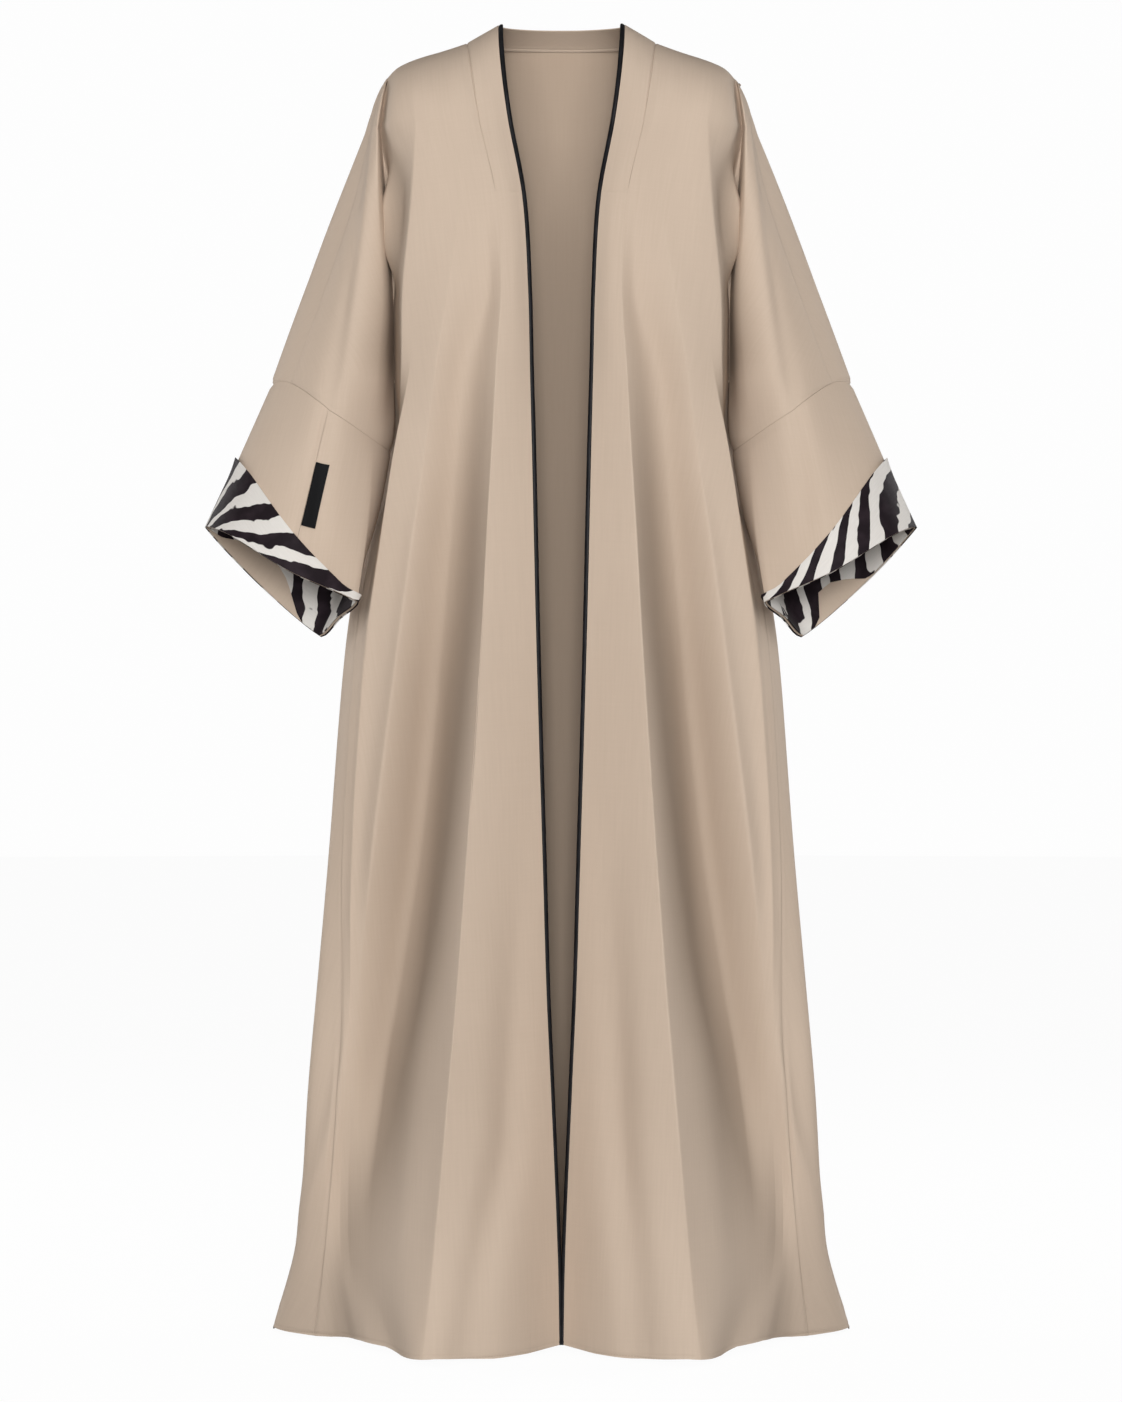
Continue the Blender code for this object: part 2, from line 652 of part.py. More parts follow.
def rows_above_end(rings, column, width):
    """Sleeve row that lies this far above the sleeve's end."""
    elbow, end = rings[2][column - SEAM_COLUMN], rings[3][column - SEAM_COLUMN]
    return SLEEVE_END_ROW - SLEEVE_ROWS * width / (end - elbow).length


def sheet_wall(name, sheet, lift, wall, material, collection):
    """A wall lying on the sleeve: lift(i) is its near face's distance out from the skin."""
    triangles = sheet.pieces["sheet"]
    direction = 1 if wall > 0 else -1
    far = {i: lift(i) + wall for i in range(len(sheet.points))}
    near = {i: lift(i) for i in range(len(sheet.points))}
    outer, inner = (far, near) if direction > 0 else (near, far)
    return wall_between(name,
                        lambda i: sheet.points[i] + sheet.normals[i] * outer[i],
                        lambda i: sheet.points[i] + sheet.normals[i] * inner[i],
                        triangles, material, collection)


def loose_gaps(sheet, bared=lambda column: 0.0):
    """Gap of each point to the sleeve: the seam gap at the sleeve's end, a little more elsewhere."""
    gaps = {}
    for (_, row, column), i in sheet.index.items():
        sewn = row == CUFF_ROWS and bared(column) == 0.0
        gaps[i] = SEAM_GAP if sewn else LOOSE_GAP
    return gaps


def cuff(side, material, collection):
    """Turned-back cuff on the outside of the sleeve, wide at the wrist's outer side."""
    rings = sleeve_columns()

    def row_of(column, share):
        width = max(CUFF_NARROW, CUFF_WIDTH * cuff_share(rings, column))
        top = rows_above_end(rings, column, width)
        return top + (SLEEVE_END_ROW - top) * share

    columns = list(range(SEAM_COLUMN, BACK_SEAM_COLUMN + 1))
    sheet = sleeve_sheet(side, columns, row_of, CUFF_ROWS)
    gaps = loose_gaps(sheet)
    return sheet_wall("cuff_" + side_name(side), sheet, gaps.get, CUFF_WALL, material, collection)


def cuff_facing(side, material, collection):
    """Facing inside the mouth; its lower edge curves up on the back and bares the sleeve there."""
    rings = sleeve_columns()
    middle = (OVER_COLUMN + 1 + BACK_SEAM_COLUMN - 1) / 2
    reach = (BACK_SEAM_COLUMN - 1 - OVER_COLUMN - 1) / 2

    def bared(column):
        return FACING_BARE * max(0.0, 1 - ((column - middle) / reach) ** 2)

    def row_of(column, share):
        top = rows_above_end(rings, column, FACING_DEPTH)
        low = rows_above_end(rings, column, bared(column))
        return top + (low - top) * share

    columns = list(range(SEAM_COLUMN, BACK_SEAM_COLUMN + 1))
    sheet = sleeve_sheet(side, columns, row_of, CUFF_ROWS)
    gaps = loose_gaps(sheet, bared)
    return sheet_wall("cuff_facing_" + side_name(side), sheet, lambda i: -CLOTH - gaps[i],
                      -CUFF_WALL, material, collection)


def sleeve_label(material, collection):
    """Bare black tab lying beside the label seam, its outer edge along the seam."""
    side = -1
    rings = sleeve_columns()
    sheet = Skin()
    rows, across = 4, 2
    for row in range(rows + 1):
        down = ELBOW_ROW + SLEEVE_ROWS * (LABEL_SPAN[0] + (LABEL_SPAN[1] - LABEL_SPAN[0]) * row / rows)
        seam = sleeve_point(rings, LABEL_COLUMN, down)
        beside = sleeve_point(rings, LABEL_COLUMN - 1, down)
        inward = (beside - seam).normalized()
        for step in range(across + 1):
            place = seam + inward * (SEAM_GAP + LABEL_WIDTH * step / across)
            sheet.point((side, row, -step), sided(place, side))
    add_cells(sheet, side, lambda s, row, column: (s, row, column), range(rows), range(-across, 0),
              lambda *_: "sheet")
    sheet.finish()
    return sheet_wall("sleeve_label", sheet, lambda i: LOOSE_GAP, LABEL_WALL, material, collection)


# ---------------------------------------------------------------- materials and assembly


def principled(name, colour, roughness, sheen=0.0):
    material = bpy.data.materials.new(name)
    material.use_nodes = True
    shader = material.node_tree.nodes["Principled BSDF"]
    shader.inputs["Base Color"].default_value = (*colour, 1.0)
    shader.inputs["Roughness"].default_value = roughness
    shader.inputs["Metallic"].default_value = 0.0
    shader.inputs["Sheen Weight"].default_value = sheen
    return material


def main():
    for thing in list(bpy.data.objects):
        bpy.data.objects.remove(thing, do_unlink=True)
    collection = bpy.data.collections.new("abaya_cloak")
    bpy.context.scene.collection.children.link(collection)

    crepe = (0.50, 0.40, 0.31)
    stripe_mean = (0.34, 0.32, 0.30)
    skin = build_skin()
    for name in sorted(skin.pieces):
        cloth_piece(skin, name, principled(name + "_crepe", crepe, 0.75, 0.2), collection)
    for side in (1, -1):
        label = side_name(side)
        piping(skin, side, principled("piping_satin_" + label, (0.012, 0.012, 0.013), 0.45), collection)
        cuff(side, principled("cuff_satin_" + label, stripe_mean, 0.5), collection)
        cuff_facing(side, principled("facing_satin_" + label, stripe_mean, 0.5), collection)
    sleeve_label(principled("label_ribbon", (0.015, 0.015, 0.016), 0.6), collection)


main()
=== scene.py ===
"""Open abaya cloak of taupe crepe, dressed: each sewn piece is a thin shell of cloth with its
folds, seams and trims, standing in the place of its solid.

Metres, +Z up, the front faces -Y, and the wearer's left is +X.
"""

import logging
import math
from dataclasses import dataclass, field
from enum import Enum
from typing import Callable, ClassVar, NamedTuple, Optional, Sequence

import bpy
import numpy as np
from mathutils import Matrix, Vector, noise


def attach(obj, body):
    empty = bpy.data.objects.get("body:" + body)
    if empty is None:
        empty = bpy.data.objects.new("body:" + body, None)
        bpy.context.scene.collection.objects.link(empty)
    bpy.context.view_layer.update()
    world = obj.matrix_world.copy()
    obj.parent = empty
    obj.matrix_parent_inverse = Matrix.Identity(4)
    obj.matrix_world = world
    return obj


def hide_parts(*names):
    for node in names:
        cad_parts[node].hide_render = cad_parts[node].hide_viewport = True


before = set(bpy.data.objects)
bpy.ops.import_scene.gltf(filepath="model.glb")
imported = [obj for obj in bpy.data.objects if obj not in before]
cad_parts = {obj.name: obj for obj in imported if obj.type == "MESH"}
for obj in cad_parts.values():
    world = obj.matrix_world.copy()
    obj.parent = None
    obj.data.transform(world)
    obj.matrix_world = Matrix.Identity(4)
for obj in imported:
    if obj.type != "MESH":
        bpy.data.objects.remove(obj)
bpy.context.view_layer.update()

LOG = logging.getLogger("abaya")

Key = tuple
Place = tuple[float, float]
Colour = tuple[float, float, float]
Thing = bpy.types.Object
Material = bpy.types.Material
Socket = bpy.types.NodeSocket


class Side(Enum):
    """Side of the wearer's body, with the sign of its x."""

    LEFT = 1
    RIGHT = -1

    @property
    def word(self) -> str:
        """Side's name as the pieces carry it."""
        return self.name.lower()


class Zone(Enum):
    """Part of the cloak that a fold is laid in."""

    FRONT = 0
    SLEEVE_FRONT = 1
    SLEEVE_BACK = 2
    BACK = 3
    NECK = 4


class Hold(Enum):
    """How a sheet is held once it is sewn in."""

    HUNG = "hung"
    FOLDED = "folded"
    STRETCHED = "stretched"


# ---------------------------------------------------------------- dimensions

CLOTH = 0.0014              # wall of the crepe shell
SEAM_GAP = 0.0003
NECK_HALF_WIDTH = 0.069
NECK_DEPTH = 0.068
NECK_RISE = 0.0055
BAND_HALF_WIDTH = 0.1035
BAND_DEPTH = 0.094
BAND_SHOULDER_DROP = 0.0205
BAND_BACK_DROP = 0.0125
YOKE_FOOT = -0.12
BAND_END = -0.195
UNDERARM = -0.385
HEM = -1.43
HEM_TURN = 0.014            # height of the finely ruled strip above the hem
STITCH_LIFT = 0.0037        # row of stitches above the hem
NOTHING = 1e-12             # keeps a division from failing

# Where the lines of one half cross each height, in the order of BODY_LINES, as (x, y) in
# millimetres.
SECTIONS = {
    -0.12: ((56.6, -85), (72, -91), (87.8, -95), (98, -98), (115, -100), (140, -103),
            (156.5, -101), (183, -87), (195.5, -54), (180, 68), (160, 86), (94, 96), (50, 97),
            (0, 97.5)),
    -0.2: ((42, -105), (56, -112), (70, -115), (85, -115), (108, -118), (143, -115), (160.8, -111),
           (176.5, -62), (190.2, -36), (180, 70), (160, 94), (90, 106), (45, 109), (0, 107)),
    -0.3: ((36, -120), (50, -130), (64, -135), (80, -125), (120.6, -133), (154, -122), (170, -116),
           (178, -70), (183, -30), (184, 60), (166, 96), (92, 113), (48, 118), (0, 112)),
    -0.385: ((33.8, -125), (51, -137), (69, -146), (100, -119), (134, -132), (162, -120),
             (171.5, -112), (177, -65), (183, 0), (187, 50), (172, 96), (96, 113), (52, 124),
             (0, 115)),
    -0.47: ((31.5, -130), (53, -142), (73.5, -152), (108, -108), (145, -120), (179, -110),
            (177, -83), (174, -50), (179, 0), (199, 45), (178, 94), (100, 113), (56, 129),
            (0, 117)),
    -0.56: ((29.3, -132), (54, -145), (79, -157), (116, -93), (159, -107), (193, -100), (195, -83),
            (196, -55), (206, -14), (219, 30), (190, 94), (104, 114), (62, 134), (0, 118)),
    -0.68: ((26.4, -130), (55.5, -148), (85.5, -165), (127, -81), (175.5, -96), (209.4, -88),
            (213, -83), (217, -77), (223.5, -65), (235.2, -26), (212, 94), (110, 114), (70, 142),
            (0, 120)),
    -0.9: ((20, -125), (59, -153), (100, -178), (152, -66), (203, -83), (225, -76), (229, -74),
           (232.5, -72), (236.5, -69), (251.5, -50), (226, 105), (122, 114), (84, 154), (0, 123)),
    -1.04: ((16, -120), (62, -158), (110, -187), (173, -62), (217, -73), (227.5, -73),
            (230.5, -72), (233.5, -71), (237, -69), (264, -52), (240, 112), (132, 113), (93, 162),
            (0, 125)),
    -1.15: ((11.2, -116), (64, -163), (119, -195), (190, -62), (224, -64), (232.5, -65),
            (235, -65), (237.5, -65), (240, -64), (274, -50), (250, 118), (141, 112), (101, 170),
            (0, 128)),
    -1.33: ((3.8, -118), (69, -180), (135, -202), (206, -90), (230, -57), (239, -49), (245, -46),
            (251, -44), (257, -42), (288.5, -22), (270, 124), (160, 110), (116, 186), (0, 134)),
    -1.43: ((2.1, -125), (71, -188), (145.5, -214), (178, -150), (206, -112), (219, -88),
            (230, -62), (245, -42), (270, -24), (315, 12), (296, 128), (176, 108), (128, 202),
            (0, 140)),
}
# The same for the sleeve above the underarm, in the order of ARM_LINES.
ARM_RINGS = {
    -0.12: ((198.7, -67), (204.5, -56), (208.5, -18), (215.5, 2), (207, 36), (198, 48), (190, 52)),
    -0.2: ((196.5, -70), (214, -68), (227, -34), (247.5, 2), (227, 54), (206, 56), (188, 47)),
    -0.3: ((191, -66), (223, -78), (261, -41), (284.5, 3), (245, 68), (209, 58), (186, 24)),
    -0.385: ((196, -58), (237, -83), (291.5, -46), (314.5, 4), (255, 74), (203, 46), (183, 0)),
}
# And at the elbow and the sleeve's end, as (x, y, z).
ELBOW = ((204, -60, -455.3), (250, -90, -424.7), (295, -46, -393.5), (315.5, 0, -394),
         (262, 68, -425), (209, 40, -455), (186, -10, -467))
SLEEVE_END = ((218.7, -100, -633), (289, -127, -601), (356, -98, -561), (383.5, -50, -552),
              (330, 0, -612), (262, -26, -669), (240, -62, -650))
SLEEVE_END_CORNERS = (0.0, 0.6, 0.0, 0.0, 0.5, 0.0, 0.5)    # how sharply its rim turns at each


class Span(NamedTuple):
    """Cells up to a named line, and how crisp that line is (0 soft, 1 crisp)."""

    line: str
    cells: int
    crisp: float = 0.0


FINER = 5                   # shell cells for each cell of the solid
FRONT_SPANS = (
    Span("belly", 2), Span("main_fold", 2, 0.9), Span("trough", 2), Span("crease", 2, 0.7),
    Span("outer_fold", 2, 0.8), Span("arm_fold", 1, 0.8), Span("hollow", 1), Span("seam", 2, 0.8),
)
BACK_SPANS = (
    Span("side", 2), Span("corner", 3, 0.2), Span("neck_corner", 5), Span("back_fold", 2, 0.2),
    Span("centre", 3),
)
ARM_FRONT_SPANS = (Span("inner_front", 2), Span("front", 2), Span("over", 3))
ARM_BACK_SPANS = (Span("ridge", 1), Span("back", 3), Span("inner_back", 2), Span("under", 1, 0.8))
ARM_SPANS = ARM_FRONT_SPANS + ARM_BACK_SPANS
BODY_LINES = ("edge",) + tuple(span.line for span in FRONT_SPANS + BACK_SPANS)
ARM_LINES = tuple(span.line for span in ARM_SPANS)
CRISP_FROM = 0.6            # a crisper line than this draws the columns together beside it
CROWDING = 1.7
SOFT_HEM = (0.015, 0.12)    # above the hem, where the lines begin to be crisp and over what height
LEAST_SHARP = 0.1

# The shoulder seam from the band seam to the shoulder's tip, as (x, z).
SHOULDER_LINE = (
    (0.1035, -0.0205), (0.129, -0.0295), (0.163, -0.041), (0.1816, -0.0505), (0.195, -0.0655),
)
# Share of the shoulder seam reached by each column of the solid, counted from the tip.
SHOULDER_SHARE = (
    (0, 0.0), (7, 0.1), (9, 0.24), (10, 0.38), (11, 0.52), (13, 0.72), (15, 0.9), (17, 1.0),
)
TIP_REACH = 0.016           # the shoulder's tip reaches this far in and down
BAND_END_REACH = 0.004      # the front band's end reaches this far up and down
BAND_END_X = 0.085          # and this far out from the middle
NARROW_GAP = 0.3            # share of the seam gap that is left at both


def cells_of(spans: Sequence[Span]) -> int:
    """Number of shell cells in a run of spans."""
    return FINER * sum(span.cells for span in spans)


BAND_CELLS = 4 * FINER
SEAM_COLUMN = cells_of(FRONT_SPANS)
LABEL_COLUMN = SEAM_COLUMN + cells_of(ARM_FRONT_SPANS[:2])
OVER_COLUMN = SEAM_COLUMN + cells_of(ARM_FRONT_SPANS)
BACK_SEAM_COLUMN = OVER_COLUMN + cells_of(ARM_BACK_SPANS)
NECK_COLUMN = 2 * OVER_COLUMN - BAND_CELLS
CENTRE_COLUMN = BACK_SEAM_COLUMN + cells_of(BACK_SPANS)
NECK_CELLS = CENTRE_COLUMN - NECK_COLUMN

YOKE_ROWS = 20
BAND_END_ROW = YOKE_ROWS + 8
UNDERARM_ROW = BAND_END_ROW + 18
HEM_TURN_ROW = UNDERARM_ROW + 88
HEM_ROW = HEM_TURN_ROW + 8
ELBOW_ROW = UNDERARM_ROW + 8
SLEEVE_ROWS = 24
SLEEVE_END_ROW = ELBOW_ROW + SLEEVE_ROWS

YOKE_EASED = slice(NECK_COLUMN - 9, NECK_COLUMN + 9)    # evened out where the neck seam starts
EDGE_HOLD = 0.6             # keeps the front edge upright on the shoulder
SHOULDER_SWELL = 0.0042
SWELL_COLUMNS = 10


def hermite(start: Vector, end: Vector, leave: Vector, arrive: Vector, t: float) -> Vector:
    """Work out a point on the cubic between two points.

    Args:
        start: First point.
        end: Last point.
        leave: Tangent at the first point.
        arrive: Tangent at the last point.
        t: Share of the way, 0 to 1.

    Returns:
        The point at t.
    """
    t2, t3 = t * t, t * t * t
    return (start * (2 * t3 - 3 * t2 + 1) + leave * (t3 - 2 * t2 + t)
            + end * (3 * t2 - 2 * t3) + arrive * (t3 - t2))


def through(knots: Sequence[float], values: Sequence[Vector], at: float) -> Vector:
    """Read a smooth curve through values given at falling knots.

    Args:
        knots: Heights of the values, falling.
        values: Value at each knot.
        at: Height to read.

    Returns:
        The value there.
    """
    last = len(knots) - 1
    i = 0
    while i < last - 1 and at < knots[i + 1]:
        i += 1

    def slope(k: int) -> Vector:
        """Slope of the curve at one knot."""
        low, high = max(k - 1, 0), min(k + 1, last)
        return (values[high] - values[low]) / (knots[high] - knots[low])

    length = knots[i + 1] - knots[i]
    return hermite(values[i], values[i + 1], slope(i) * length, slope(i + 1) * length,
                   (at - knots[i]) / length)


def crowd(share: float, at_start: bool, at_end: bool) -> float:
    """Move a share of a span towards its crisp ends, so that their edge stays sharp."""
    if at_start and at_end:
        return share * share * (3 - 2 * share)
    if at_start:
        return share ** CROWDING
    return 1 - (1 - share) ** CROWDING if at_end else share


def thread(stations: list[Vector], spans: Sequence[Span], crisps: Sequence[float],
           closed: bool = False, sharp: float = 1.0) -> list[Vector]:
    """Lay evenly counted points along a chain of stations.

    Args:
        stations: Where the lengthwise lines cross this ring.
        spans: Spans between them, one fewer than the stations unless closed.
        crisps: How far the tangent breaks at each station.
        closed: Whether the chain returns to its start; an open one is mirrored past its end.
        sharp: Share of the crispness that is left on this ring.

    Returns:
        All points of the ring, the first station included.
    """
    count = len(stations)
    points = [stations[0].copy()]

    def tangent(k: int, forward: bool) -> Vector:
        """Tangent at one station, on the side that is asked for."""
        here, before = stations[k], stations[k - 1]
        mirrored = Vector((-before.x, before.y, before.z))
        after = stations[(k + 1) % count] if closed or k + 1 < count else mirrored
        if k == 0 and not closed:
            return after - here
        ahead, behind = (after - here).length, (here - before).length
        share = (ahead if forward else behind) / (ahead + behind)
        one_sided = (after - here) if forward else (here - before)
        crisp = crisps[k] * sharp
        return (after - before) * share * (1 - crisp) + one_sided * crisp

    for i, span in enumerate(spans):
        k = (i + 1) % count
        leave, arrive = tangent(i, True), tangent(k, False)
        steps = span.cells * FINER
        edges = crisps[i] > CRISP_FROM, crisps[k] > CRISP_FROM
        points += [hermite(stations[i], stations[k], leave, arrive, crowd(s / steps, *edges))
                   for s in range(1, steps + 1)]
    return points


def metres(*millimetres: float) -> Vector:
    """Point of a table that is given in millimetres."""
    return Vector([number / 1000 for number in millimetres])


def table_crossing(table: dict, k: int, knots: Sequence[float], height: float) -> Vector:
    """Where the line at one place of a table crosses a height."""
    place = through(knots, [metres(*ring[k], 0) for ring in table.values()], height)
    return Vector((place.x, place.y, height))


def crossing(height: float, line: str) -> Vector:
    """Where a named line of the body crosses a height."""
    return table_crossing(SECTIONS, BODY_LINES.index(line), list(SECTIONS), height)


def arm_crossing(height: float, line: str) -> Vector:
    """Where a named line of the sleeve crosses a height above the underarm."""
    if line == "under" and height <= UNDERARM:
        return crossing(UNDERARM, "seam")
    knots = [Vector((0, 0, ring_height)).z for ring_height in ARM_RINGS]    # rounded as points are
    return table_crossing(ARM_RINGS, ARM_LINES.index(line), knots, height)


def upper_ring(height: float) -> list[Vector]:
    """One level ring above the underarm, from the front edge to the middle of the back."""
    spans = FRONT_SPANS + ARM_SPANS + BACK_SPANS
    body = [crossing(height, line) for line in BODY_LINES]
    arm = [arm_crossing(height, line) for line in ARM_LINES]
    split = len(FRONT_SPANS) + 1
    return thread(body[:split] + arm + body[split:], spans, [0.0] + [s.crisp for s in spans])


def skirt_ring(height: float) -> list[Vector]:
    """The body's ring below the underarm, from the front edge to the middle of the back."""
    spans = FRONT_SPANS + BACK_SPANS
    crisps = [0.0] + [span.crisp for span in spans]
    crisps[len(FRONT_SPANS)] = 0.0
    sharp = min(1.0, max(LEAST_SHARP, (height - HEM - SOFT_HEM[0]) / SOFT_HEM[1]))
    return thread([crossing(height, line) for line in BODY_LINES], spans, crisps, sharp=sharp)


def arm_loop(ring: Sequence, corners: Sequence[float] = (0.0,) * 7) -> list[Vector]:
    """The sleeve's ring of points round the arm, from the underarm seam and back to it."""
    stations = [metres(*place) for place in (ring[-1], *ring[:-1])]
    return thread(stations, ARM_SPANS, corners, closed=True)


def shoulder_point(share: float) -> Vector:
    """Point on the shoulder seam: 0 at the tip, 1 at the band seam."""
    line = [Vector((x, 0.0, z)) for x, z in reversed(SHOULDER_LINE)]
    walked = [0.0]
    for before, after in zip(line, line[1:]):
        walked.append(walked[-1] - (after - before).length)
    return through(walked, line, share * walked[-1])


def shoulder_share(steps: float) -> float:
    """Share of the shoulder seam reached this many columns of the solid from the tip."""
    table = np.array(SHOULDER_SHARE)
    return float(np.interp(steps, table[:, 0], table[:, 1]))


def neck_point(across: float, turn: float) -> Vector:
    """Find a point of the neckband.

    Args:
        across: Share of the way from the neck edge (0) to the band's seam (1).
        turn: Share of the way from the shoulder (0) to the middle of the back (1).

    Returns:
        The point on the wearer's left.
    """
    angle = turn * math.pi / 2
    inner = Vector((NECK_HALF_WIDTH * math.cos(angle), NECK_DEPTH * math.sin(angle),
                    NECK_RISE * math.sin(angle)))
    drop = BAND_SHOULDER_DROP + (BAND_BACK_DROP - BAND_SHOULDER_DROP) * math.sin(angle)
    seam = Vector((BAND_HALF_WIDTH * math.cos(angle), BAND_DEPTH * math.sin(angle), -drop))
    return inner.lerp(seam, across)


def top_point(column: int) -> Vector:
    """Where a column starts: on the shoulder's ridge or on the back neck seam."""
    if column <= BAND_CELLS:
        return neck_point(column / BAND_CELLS, 0.0)
    if column <= NECK_COLUMN:
        return shoulder_point(shoulder_share(abs(OVER_COLUMN - column) / FINER))
    return neck_point(1.0, (column - NECK_COLUMN) / NECK_CELLS)


def yoke_point(column: int, foot: Vector, turn: float) -> Vector:
    """Point on the shoulder's rounding, from its ridge (0) to its foot (1)."""
    top = top_point(column)
    angle = turn * math.pi / 2
    fall = 1 - math.cos(angle)
    hold = 1.0 + EDGE_HOLD * max(0.0, 1 - column / BAND_CELLS)
    nearness = max(0.0, 1 - abs(column - OVER_COLUMN) / SWELL_COLUMNS)
    swell = SHOULDER_SWELL * math.sin(math.pi * fall) * nearness ** 2
    return Vector((top.x + (foot.x - top.x) * fall ** hold + swell,
                   top.y + (foot.y - top.y) * math.sin(angle),
                   top.z + (foot.z - top.z) * fall))


def row_height(row: int) -> float:
    """Height of a level row, from the foot of the yoke down to the hem."""
    rows = (YOKE_ROWS, BAND_END_ROW, UNDERARM_ROW, HEM_TURN_ROW, HEM_ROW)
    return float(np.interp(row, rows, (YOKE_FOOT, BAND_END, UNDERARM, HEM + HEM_TURN, HEM)))


class Sleeve:
    """The sleeve below the underarm, steered by the rings above it, the elbow and the end."""

    hang = 0.009                # how far its inner side bellies towards the body
    hang_columns = 15
    above_height = -0.3         # its upper end leads on from this ring of the arm

    def __init__(self) -> None:
        """Work out the rings that steer it."""
        arm = slice(SEAM_COLUMN, BACK_SEAM_COLUMN + 1)
        self.above = upper_ring(self.above_height)[arm]
        self.level = upper_ring(UNDERARM)[arm]
        self.elbow = arm_loop(ELBOW)
        self.end = arm_loop(SLEEVE_END, SLEEVE_END_CORNERS)

    def point(self, column: int, row: float) -> Vector:
        """Point of the sleeve at one column and a row, whole or not, from the underarm down."""
        k = column - SEAM_COLUMN
        above, level, elbow, end = self.above[k], self.level[k], self.elbow[k], self.end[k]
        if row >= ELBOW_ROW:
            t = (row - ELBOW_ROW) / SLEEVE_ROWS
            inner = max(0.0, 1 - min(k, BACK_SEAM_COLUMN - column) / self.hang_columns)
            hang = self.hang * math.sin(math.pi * t) * inner
            return elbow.lerp(end, t) - Vector((hang, 0, 0))
        reach = (elbow - level).length
        leave = (elbow - above) * reach / (reach + (level - above).length)
        if column in (SEAM_COLUMN, BACK_SEAM_COLUMN):
            leave = elbow - level
        arrive = (end - elbow).normalized() * reach
        t = (row - UNDERARM_ROW) / (ELBOW_ROW - UNDERARM_ROW)
        return hermite(level, elbow, leave, arrive, t)

    def across(self, column: int) -> float:
        """How far across the mouth a column lies: 0 at the underarm, 1 on the outer side."""
        xs = [place.x for place in self.end]
        return (self.end[column - SEAM_COLUMN].x - min(xs)) / (max(xs) - min(xs))

    def row_above_end(self, column: int, width: float) -> float:
        """Row that lies this far above the sleeve's end."""
        k = column - SEAM_COLUMN
        return SLEEVE_END_ROW - SLEEVE_ROWS * width / (self.end[k] - self.elbow[k]).length

    def row_between(self, column: int, high: float, low: float, share: float) -> float:
        """Row at a share of the way down between two widths above the sleeve's end."""
        top = self.row_above_end(column, high)
        return top + (self.row_above_end(column, low) - top) * share


# ---------------------------------------------------------------- folds


def beside(line: str, offset: float, heights: Sequence[float]) -> tuple[Place, ...]:
    """Path at a distance out from one of the body's named lines, as (x, z) points."""
    return tuple((crossing(height, line).x + offset, height) for height in heights)


@dataclass(frozen=True)
class Fold:
    """One trough or ridge laid in down a line of (x, z) points on the wearer's left.

    A positive rise stands out from the cloth and a negative one sinks into it. The widths run from
    the line to where the fold has died out, towards the middle and outwards. A crisp fold has a
    sharp crest. The fading is the share of the path over which each end dies out.
    """

    path: tuple[Place, ...]
    rise: float
    inward: float
    outward: float
    zones: tuple[Zone, ...] = (Zone.FRONT,)
    sides: tuple[int, ...] = (1, -1)
    crisp: bool = False
    fading: float = 0.22
    crest: ClassVar[float] = 1.6
    softness: ClassVar[float] = 3.2

    def height(self, x: np.ndarray, z: np.ndarray) -> np.ndarray:
        """Work out how far the fold moves the cloth.

        Args:
            x: Distance of each point from the middle plane.
            z: Height of each point.

        Returns:
            Distance along the cloth's normal for each point.
        """
        nearest = np.full(x.shape, np.inf)
        along, width = np.zeros(x.shape), np.zeros(x.shape)
        walked = 0.0
        for (x0, z0), (x1, z1) in zip(self.path, self.path[1:]):
            dx, dz = x1 - x0, z1 - z0
            length = math.hypot(dx, dz)
            t = np.clip(((x - x0) * dx + (z - z0) * dz) / length ** 2, 0, 1)
            gap = np.hypot(x - x0 - t * dx, z - z0 - t * dz)
            closer = gap < nearest
            nearest = np.where(closer, gap, nearest)
            along = np.where(closer, walked + t * length, along)
            outside = (z - z0) * dx - (x - x0) * dz > 0
            width = np.where(closer, np.where(outside, self.outward, self.inward), width)
            walked += length
        ends = np.clip(np.minimum(along, walked - along) / (self.fading * walked), 0, 1)
        away = nearest / width
        shape = (np.clip(1 - away, 0, 1) ** self.crest if self.crisp
                 else np.exp(-self.softness * away ** 2))
        return self.rise * shape * ends * ends * (3 - 2 * ends)


LOWER = (-0.62, -0.8, -0.95, -1.08, -1.16)

